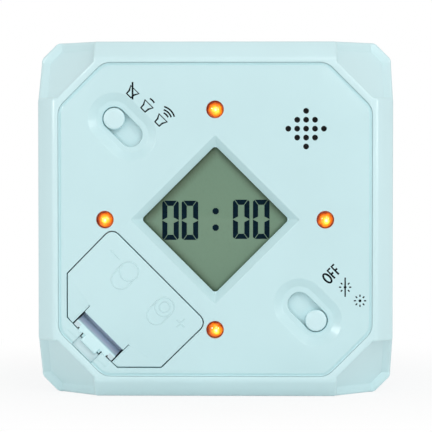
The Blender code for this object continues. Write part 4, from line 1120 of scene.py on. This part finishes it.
TYPE_SIZE = 1.37  # size of the type whose digits are 1 high
BOLDNESS = 0.012  # how far its outline is drawn out, for digits that are 1 high


def numeral(number, height, thickness, turn, level):
    """A number as a flat solid on one of the four sides, its middle at the level given, out from the cube's centre."""
    deselect()
    bpy.ops.object.text_add()
    text = bpy.context.object
    text.data.body = str(number)
    text.data.size = height * TYPE_SIZE
    text.data.align_x = "CENTER"
    text.data.align_y = "CENTER"
    text.data.extrude = thickness / 2
    text.data.offset = height * BOLDNESS
    text.data.resolution_u = 8
    bpy.ops.object.convert(target="MESH")
    weld(text)
    middle = sum((Vector(corner) for corner in text.bound_box), Vector()) / 8
    up = Matrix.Rotation(math.radians(turn), 4, "Y") @ Matrix.Translation((-middle.x, -middle.y, level))
    text.matrix_basis = Matrix.Translation((0, 0, HALF)) @ up
    settle(text)
    return text


def side_numbers():
    """The four sides that the cube is set down on: name, number and turn about the depth axis."""
    look = bpy.context.scene.timer_numerals
    return (("top", look.top, 0), ("right", look.right, 90), ("bottom", look.bottom, 180), ("left", look.left, 270))


class TIMER_OT_numerals(bpy.types.Operator):
    """Ink in the sunk numerals on the four sides that the cube is set down on"""

    bl_idname = "timer.numerals"
    bl_label = "Side numerals"

    def execute(self, context):
        look = context.scene.timer_numerals
        clearance, thick = 0.06 * MM, 0.04 * MM
        for name, number, turn in side_numbers():
            text = numeral(number, look.height - clearance, thick, turn, HALF - look.sink)
            finish(text, f"numeral_{name}", ink_black())
        return {"FINISHED"}


def cell_sleeve():
    """A cell's sleeve: black, with a fine shrunk sheen."""
    material, tree, shader = finish_of("cell_sleeve_print", (0.015, 0.016, 0.018), 0.28, Coat_Weight=0.3)
    if tree:
        bump(tree, shader, pattern(tree, 700, 3, (1, 0.1, 1)), 0.02 * MM, 0.25)
        mottle(tree, shader, pattern(tree, 200, 2), (0.012, 0.013, 0.015), (0.02, 0.021, 0.024))
    return material


# Parts of a cell: (radius, height) steps in millimetres up from its plain end, finish and slot.
SLEEVE_STEPS = ((4.7, 0.18), (5.05, 0.05), (5.2, 0.12), (5.25, 0.4), (5.25, 32.0))
BAND_STEPS = ((5.245, 32.0), (5.245, 42.9), (5.15, 43.3), (4.8, 43.45), (4.4, 43.4))
CAP_STEPS = ((4.9, 0.0), (4.9, 0.3), (4.6, 0.3))
NUB_STEPS = ((4.5, 43.2), (4.5, 43.4), (2.3, 43.45), (2.0, 43.6), (1.9, 44.3), (1.7, 44.5))
CELL_PARTS = (
    ("sleeve", SLEEVE_STEPS, cell_sleeve, "cell_sleeve"),
    ("band", BAND_STEPS, copper, "cell_sleeve"),
    ("cap", CAP_STEPS, nickel, "nickel_contact"),
    ("nub", NUB_STEPS, nickel, "nickel_contact"),
)


class TIMER_OT_cells(bpy.types.Operator):
    """The two battery cells: sleeve, copper band, end caps and nub. One of them stands on its nub"""

    bl_idname = "timer.cells"
    bl_label = "Battery cells"

    def execute(self, context):
        left, right = "battery_cell_left", "battery_cell_right"
        places = {}
        for name in (left, right):
            x, y, front, rear = extent(name)
            places[name] = FACE @ Matrix.Translation((x, y, rear if name == right else front))
        places[left] @= Matrix.Rotation(math.pi, 4, "X")
        shapes = [turned([(radius * MM, height * MM) for radius, height in steps]) for _, steps, _, _ in CELL_PARTS]
        for name, place in places.items():
            for (part, _, material, slot), shape in zip(CELL_PARTS, shapes):
                replaced = [name] if part == "sleeve" else []
                finish(own_copy(shape), f"{name}_{part}", material(), "case", place, replaced, 35)
        discard(*shapes)
        return {"FINISHED"}


class TIMER_OT_springs(bpy.types.Operator):
    """Contact springs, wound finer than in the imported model"""

    bl_idname = "timer.springs"
    bl_label = "Contact springs"

    def execute(self, context):
        wire, narrow, widening = 0.25 * MM, 2.1 * MM, 1.25 * MM
        turns, steps = 3.6, 100
        dead_turn = 0.12  # share of the winding that lies flat at each end
        for name, body, wide_front in (("cover_spring", "cover", True), ("rear_spring", "case", False)):
            x, y, front, rear = extent(name)
            points = []
            for share in (i / steps for i in range(steps + 1)):
                angle = 2 * math.pi * turns * share
                radius = narrow + widening * (share if wide_front else 1 - share)
                rise = min(max((share - dead_turn) / (1 - 2 * dead_turn), 0), 1)
                height = rear + wire + (front - rear - 2 * wire) * rise
                points.append((x + radius * math.cos(angle), y + radius * math.sin(angle), height))
            finish(stroke(points, 2 * wire), f"{name}_wire", nickel(), body, FACE, [name], 60)
        return {"FINISHED"}


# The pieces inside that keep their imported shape: body, slot and finish.
INNER_PIECES = {
    "cover_contact_plate": ("cover", "nickel_contact", nickel),
    "negative_strip": ("case", "nickel_contact", nickel),
    "positive_strip": ("case", "nickel_contact", nickel),
    "battery_cradle": ("case", "cradle_plastic", cradle_plastic),
    "lcd_holder": ("case", "black_plastic", black_plastic),
    "connector_left": ("case", "grey_rubber", striped_rubber),
    "connector_right": ("case", "grey_rubber", striped_rubber),
    "volume_switch_case": ("case", "plated_steel", steel),
    "mode_switch_case": ("case", "plated_steel", steel),
    "volume_switch_lever": ("volume_slider", "black_plastic", black_plastic),
    "mode_switch_lever": ("mode_slider", "black_plastic", black_plastic),
    "sounder": ("case", "black_plastic", black_plastic),
    "sounder_gasket": ("case", "grey_rubber", foam_rubber),
    "controller_blob": ("case", "black_epoxy", epoxy),
    "tilt_sensor": ("case", "black_plastic", black_plastic),
    "watch_crystal": ("case", "plated_steel", steel),
    "capacitor": ("case", "plated_steel", steel),
    **{f"board_screw_{number}": ("case", "plated_steel", steel) for number in range(1, 5)},
}


class TIMER_OT_inner(bpy.types.Operator):
    """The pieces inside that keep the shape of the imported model"""

    bl_idname = "timer.inner"
    bl_label = "Inner pieces"

    def execute(self, context):
        for name, (body, slot, material) in INNER_PIECES.items():
            finish(copy_of(name), f"{name}_fine", material(), body, replaces=[name])
        return {"FINISHED"}


def laminate():
    """Green solder mask over a faint weave, with lighter tracks under it."""
    material, tree, shader = finish_of("board_mask", (0.02, 0.16, 0.06), 0.32, Coat_Weight=0.3)
    if tree:
        tint(tree, shader, pattern(tree, 260, 0), (0.49, (0.012, 0.13, 0.045)), (0.52, (0.03, 0.24, 0.09)))
        bump(tree, shader, pattern(tree, 2500, 2), 0.01 * MM, 0.4)
    return material


class TIMER_OT_board(bpy.types.Operator):
    """Circuit board"""

    bl_idname = "timer.board"
    bl_label = "Circuit board"

    def execute(self, context):
        finish(copy_of("main_board"), "board_plate", laminate(), "case", replaces=["main_board"])
        return {"FINISHED"}


def white_ground():
    """White to the camera and in reflections. Near the timer a part of its real shading keeps the shadow."""
    look = bpy.context.scene.timer_stage
    material = bpy.data.materials.new("white_ground")
    material.use_nodes = True
    tree = material.node_tree
    tree.nodes.clear()
    rays = add_node(tree, "LightPath").outputs
    seen = maths(tree, "MAXIMUM", rays["Is Camera Ray"], rays["Is Glossy Ray"])
    reach = vector_maths(tree, "LENGTH", own_place(tree), result="Value")
    near, far = 0.9 * CAD_BOX[1].x, 3 * CAD_BOX[1].x
    fade = map_range(tree, reach, "SMOOTHSTEP", from_min=near, from_max=far, to_min=1 - look.shadow)
    diffuse = add_node(tree, "BsdfDiffuse", {"Color": (*look.floor_colour, 1)}).outputs["BSDF"]
    glow = add_node(tree, "Emission").outputs["Emission"]
    mix = add_node(tree, "MixShader", {"Fac": maths(tree, "MULTIPLY", seen, fade), 1: diffuse, 2: glow})
    add_node(tree, "OutputMaterial", {"Surface": mix.outputs["Shader"]})
    return material


class TIMER_OT_stage(bpy.types.Operator):
    """Floor, backdrop, soft studio light and the camera"""

    bl_idname = "timer.stage"
    bl_label = "Stage"

    def execute(self, context):
        look = context.scene.timer_stage
        floor = primitive("plane", size=3, location=(0, 0, -0.02 * MM))
        floor.name = "floor"
        floor.data.materials.append(white_ground())

        world = bpy.data.worlds.new("studio")
        context.scene.world = world
        world.use_nodes = True
        tree = world.node_tree
        background = tree.nodes["Background"]
        background.inputs["Color"].default_value = (1, 1, 1, 1)
        seen = add_node(tree, "LightPath").outputs["Is Camera Ray"]
        tree.links.new(map_range(tree, seen, to_min=look.fill), background.inputs["Strength"])

        # The front light is not seen in reflections, and the two glints are seen in nothing else.
        for name, place, size, power in (
            ("key", (0.40, -0.85, 0.60), 0.5, look.key),
            ("front", (-0.30, -1.10, 0.10), 0.8, look.key),
            ("glint_right", (0.80, -0.76, 0.25), 0.3, look.glint),
            ("glint_left", (-0.78, -0.74, 0.33), 0.3, 1.6 * look.glint),
        ):
            data = bpy.data.lights.new(name, "AREA")
            data.energy = power
            data.size = size
            light = link(name, data)
            light.visible_glossy = name != "front"
            light.visible_diffuse = not name.startswith("glint")
            light.location = place
            light.rotation_euler = (Vector((0, 0, HALF)) - Vector(place)).to_track_quat("-Z", "Y").to_euler()

        # The camera looks just past the middle of the face, and so needs no shift.
        target = Vector((0.17 * MM, -HALF, HALF + 0.63 * MM))
        level = math.cos(look.tilt)
        back = Vector((math.sin(look.turn) * level, -math.cos(look.turn) * level, math.sin(look.tilt)))
        lens = bpy.data.cameras.new("camera")
        lens.lens = lens.sensor_width * look.distance / look.view_width
        lens.clip_start = 0.01
        camera = link("camera", lens)
        camera.location = target + back * look.distance
        camera.rotation_euler = (-back).to_track_quat("-Z", "Y").to_euler()
        context.scene.camera = camera
        context.scene.view_settings.view_transform = "Standard"
        return {"FINISHED"}


GROUPS = {
    "timer_finish": TimerFinish,
    "timer_display": TimerDisplay,
    "timer_numerals": TimerNumerals,
    "timer_stage": TimerStage,
}
PIECES = (
    TIMER_OT_shell,
    TIMER_OT_panel,
    TIMER_OT_cover,
    TIMER_OT_latch,
    TIMER_OT_knobs,
    TIMER_OT_lamps,
    TIMER_OT_display,
    TIMER_OT_signs,
    TIMER_OT_numerals,
    TIMER_OT_cells,
    TIMER_OT_springs,
    TIMER_OT_inner,
    TIMER_OT_board,
    TIMER_OT_stage,
)


class TIMER_PT_sidebar(bpy.types.Panel):
    """Lists the pieces and what can be changed in them"""

    bl_label = "Cube timer"
    bl_idname = "TIMER_PT_sidebar"
    bl_space_type = "VIEW_3D"
    bl_region_type = "UI"
    bl_category = "Timer"

    def draw(self, context):
        for group, kind in GROUPS.items():
            section = self.layout.box()
            for name in kind.__annotations__:
                section.prop(getattr(context.scene, group), name)
        for piece in PIECES:
            self.layout.operator(piece.bl_idname)


CLASSES = (*GROUPS.values(), *PIECES, TIMER_PT_sidebar)


def register():
    for kind in CLASSES:
        bpy.utils.register_class(kind)
    for name, kind in GROUPS.items():
        setattr(bpy.types.Scene, name, PointerProperty(type=kind))


def unregister():
    for name in GROUPS:
        delattr(bpy.types.Scene, name)
    for kind in reversed(CLASSES):
        bpy.utils.unregister_class(kind)


def main():
    register()
    for piece in PIECES:
        area, name = piece.bl_idname.split(".")
        getattr(getattr(bpy.ops, area), name)()


if __name__ == "__main__":
    main()
